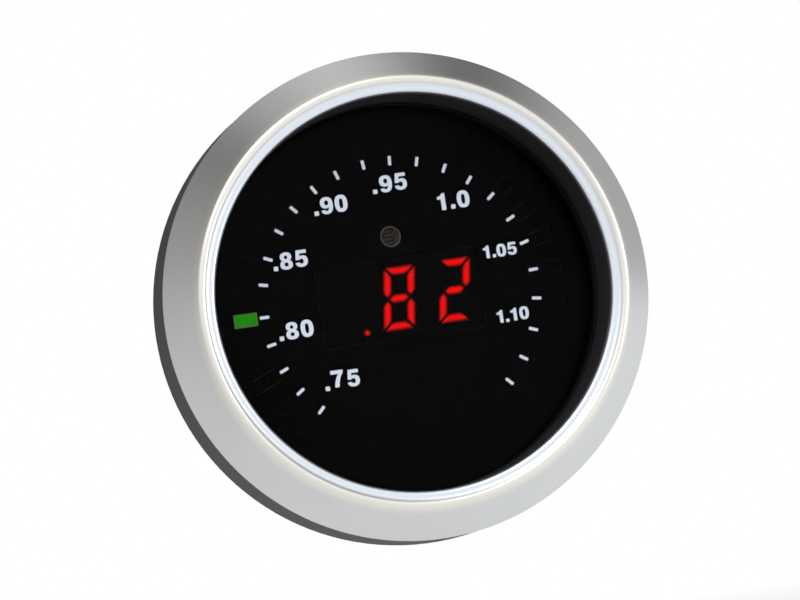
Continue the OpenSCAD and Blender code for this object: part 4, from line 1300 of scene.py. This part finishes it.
@dataclass
class Studio:
    """Camera at the photograph's angle, plain pale floor, soft lamps and a white surround."""

    aim: Level = (-0.16, -5.8, -0.08)
    azimuth: float = -8.434
    elevation: float = -3.388
    roll: float = -8.902
    distance: float = 400.0
    lens: float = 149.0
    floor_drop: float = 60.0
    floor_size_m: float = 12.0
    floor_paint: str = "f0f0ee"
    # The floor fades from paint to plain white between these distances
    fade_span: Point = (100.0, 450.0)
    fade_start: float = 0.35
    # Brightness of the table in the metal, from its dim left to its bright right
    floor_in_metal: Point = (0.34, 0.78)
    floor_spread: Point = (-110.0, 35.0)
    floor_tint: Level = (0.96, 0.98, 1.0)
    ambient: float = 0.45
    # Brightness of the tent's wall by its turn from the left, over the bottom, right and top
    tent: tuple[Point, ...] = (
        (0.0, 0.57), (0.083, 0.33), (0.167, 0.5), (0.25, 0.92), (0.36, 0.98), (0.5, 0.48),
        (0.583, 0.46), (0.667, 0.1), (0.75, 0.72), (0.79, 0.5), (0.845, 0.16), (0.917, 0.34),
        (1.0, 0.59))
    # Red of the wall at the table, and how much it grows with the turn away from there
    tent_warmth: Point = (0.96, 0.06)
    tent_green: float = 0.99
    tent_red_and_blue: float = 1.97
    tent_front: Level = (0.86, 0.87, 0.89)
    front_span: Point = (-0.1, 0.55)
    lamps: list[Softbox] = field(default_factory=lambda: [
        Softbox("upper_left_softbox", (-0.2, -0.4, 0.45), (0.35, 0.35), 1.35),
        Softbox("lower_right_softbox", (0.5, -0.38, -0.02), (0.3, 0.3), 1.0)])

    def camera(self) -> None:
        """Stands the camera where the photograph was taken from."""
        azimuth, elevation = math.radians(self.azimuth), math.radians(self.elevation)
        away = Vector((math.sin(azimuth) * math.cos(elevation),
                       -math.cos(azimuth) * math.cos(elevation), math.sin(elevation)))
        data = bpy.data.cameras.new("photograph_camera")
        data.sensor_width = 36
        data.lens = self.lens
        data.clip_start, data.clip_end = 0.01, 100
        camera = link(bpy.data.objects.new("photograph_camera", data))
        camera.rotation_mode = "QUATERNION"
        roll = Matrix.Rotation(math.radians(self.roll), 3, "Z").to_quaternion()
        camera.rotation_quaternion = (-away).to_track_quat("-Z", "Y") @ roll
        camera.location = Vector(self.aim) * MM + away * self.distance * MM
        bpy.context.scene.camera = camera

    def floor(self) -> None:
        """Lays the pale floor, which takes the gauge's shadow and fades to white further off."""
        floor = primitive(bpy.ops.mesh.primitive_grid_add, x_subdivisions=8, y_subdivisions=8,
                          size=self.floor_size_m, location=(0, 0, -self.floor_drop * MM))
        bpy.ops.object.transform_apply(location=True)
        floor.name = "floor"
        material = bpy.data.materials.new("pale_floor")
        graph = Graph(material)
        far = graph.span(graph.radius(OVER_FLOOR), self.fade_span[0] * MM, self.fade_span[1] * MM,
                         self.fade_start)
        across = graph.parts(graph.place())["X"]
        level = graph.span(across, self.floor_spread[0] * MM, self.floor_spread[1] * MM,
                           *self.floor_in_metal)
        white = graph.reckon("MAXIMUM", graph.reckon("MULTIPLY", far, graph.seen()),
                             graph.reckon("MULTIPLY", graph.mirrored(), level))
        tint = graph.mix(graph.mirrored(), WHITE, (*self.floor_tint, 1))
        paint = graph.add("BsdfDiffuse", {"Color": linear(self.floor_paint)}).outputs[0]
        plain = graph.add("Emission", {"Color": tint, "Strength": 1.0}).outputs[0]
        mixed = graph.add("MixShader", {0: white, 1: paint, 2: plain}).outputs[0]
        graph.add("OutputMaterial", {"Surface": mixed})
        floor.data.materials.append(material)

    def wall(self, graph: Graph, parts: bpy.types.NodeOutputs) -> Socket:
        """Lets the tent's wall change slowly round the gauge, warmer away from the table.

        Args:
            graph: the world's nodes.
            parts: the direction's three parts.

        Returns:
            The wall's colour.
        """
        around = graph.reckon("ARCTAN2", parts["Z"], parts["X"])
        wall = graph.add("ValToRGB", {"Fac": graph.span(around, -math.pi, math.pi)})
        ramp = wall.color_ramp
        ramp.interpolation = "EASE"
        while len(ramp.elements) < len(self.tent):
            ramp.elements.new(0.5)
        for element, (turn, level) in zip(ramp.elements, self.tent):
            red = self.tent_warmth[0] + self.tent_warmth[1] * abs(turn - TABLE_TURN)
            blue = self.tent_red_and_blue - red
            element.position = turn
            element.color = (level * red, level * self.tent_green, level * blue, 1)
        return wall.outputs["Color"]

    def surround(self) -> None:
        """Makes the world white to the camera, and a light tent to metal."""
        world = bpy.data.worlds.new("studio")
        bpy.context.scene.world = world
        graph = Graph(world)
        parts = graph.parts(graph.add("TexCoord").outputs["Generated"])
        front = graph.span(graph.reckon("MULTIPLY", parts["Y"], -1.0), *self.front_span)
        tent = graph.mix(front, self.wall(graph, parts), (*self.tent_front, 1))
        lit = graph.mix(graph.mirrored(), (self.ambient, self.ambient, self.ambient, 1), tent)
        colour = graph.mix(graph.seen(), lit, WHITE)
        background = graph.add("Background", {"Color": colour, "Strength": 1.0})
        graph.add("OutputWorld", {"Surface": background.outputs[0]})

    def build(self) -> None:
        """Sets up the whole studio."""
        self.camera()
        self.floor()
        self.surround()
        for lamp in self.lamps:
            lamp.build()
        bpy.context.scene.view_settings.view_transform = "Standard"


def main() -> None:
    """Builds the studio, the finishes and every added piece."""
    logging.basicConfig(level=logging.INFO, format="%(name)s %(message)s")
    Studio().build()
    finishes = Finishes()
    finishes.dress_nodes()
    for assembly in (Bezel, DialPrint, Readout, LightWindow, LightSensor, Studs):
        assembly(finishes).build()
    clear_selection()


if __name__ == "__main__":
    main()
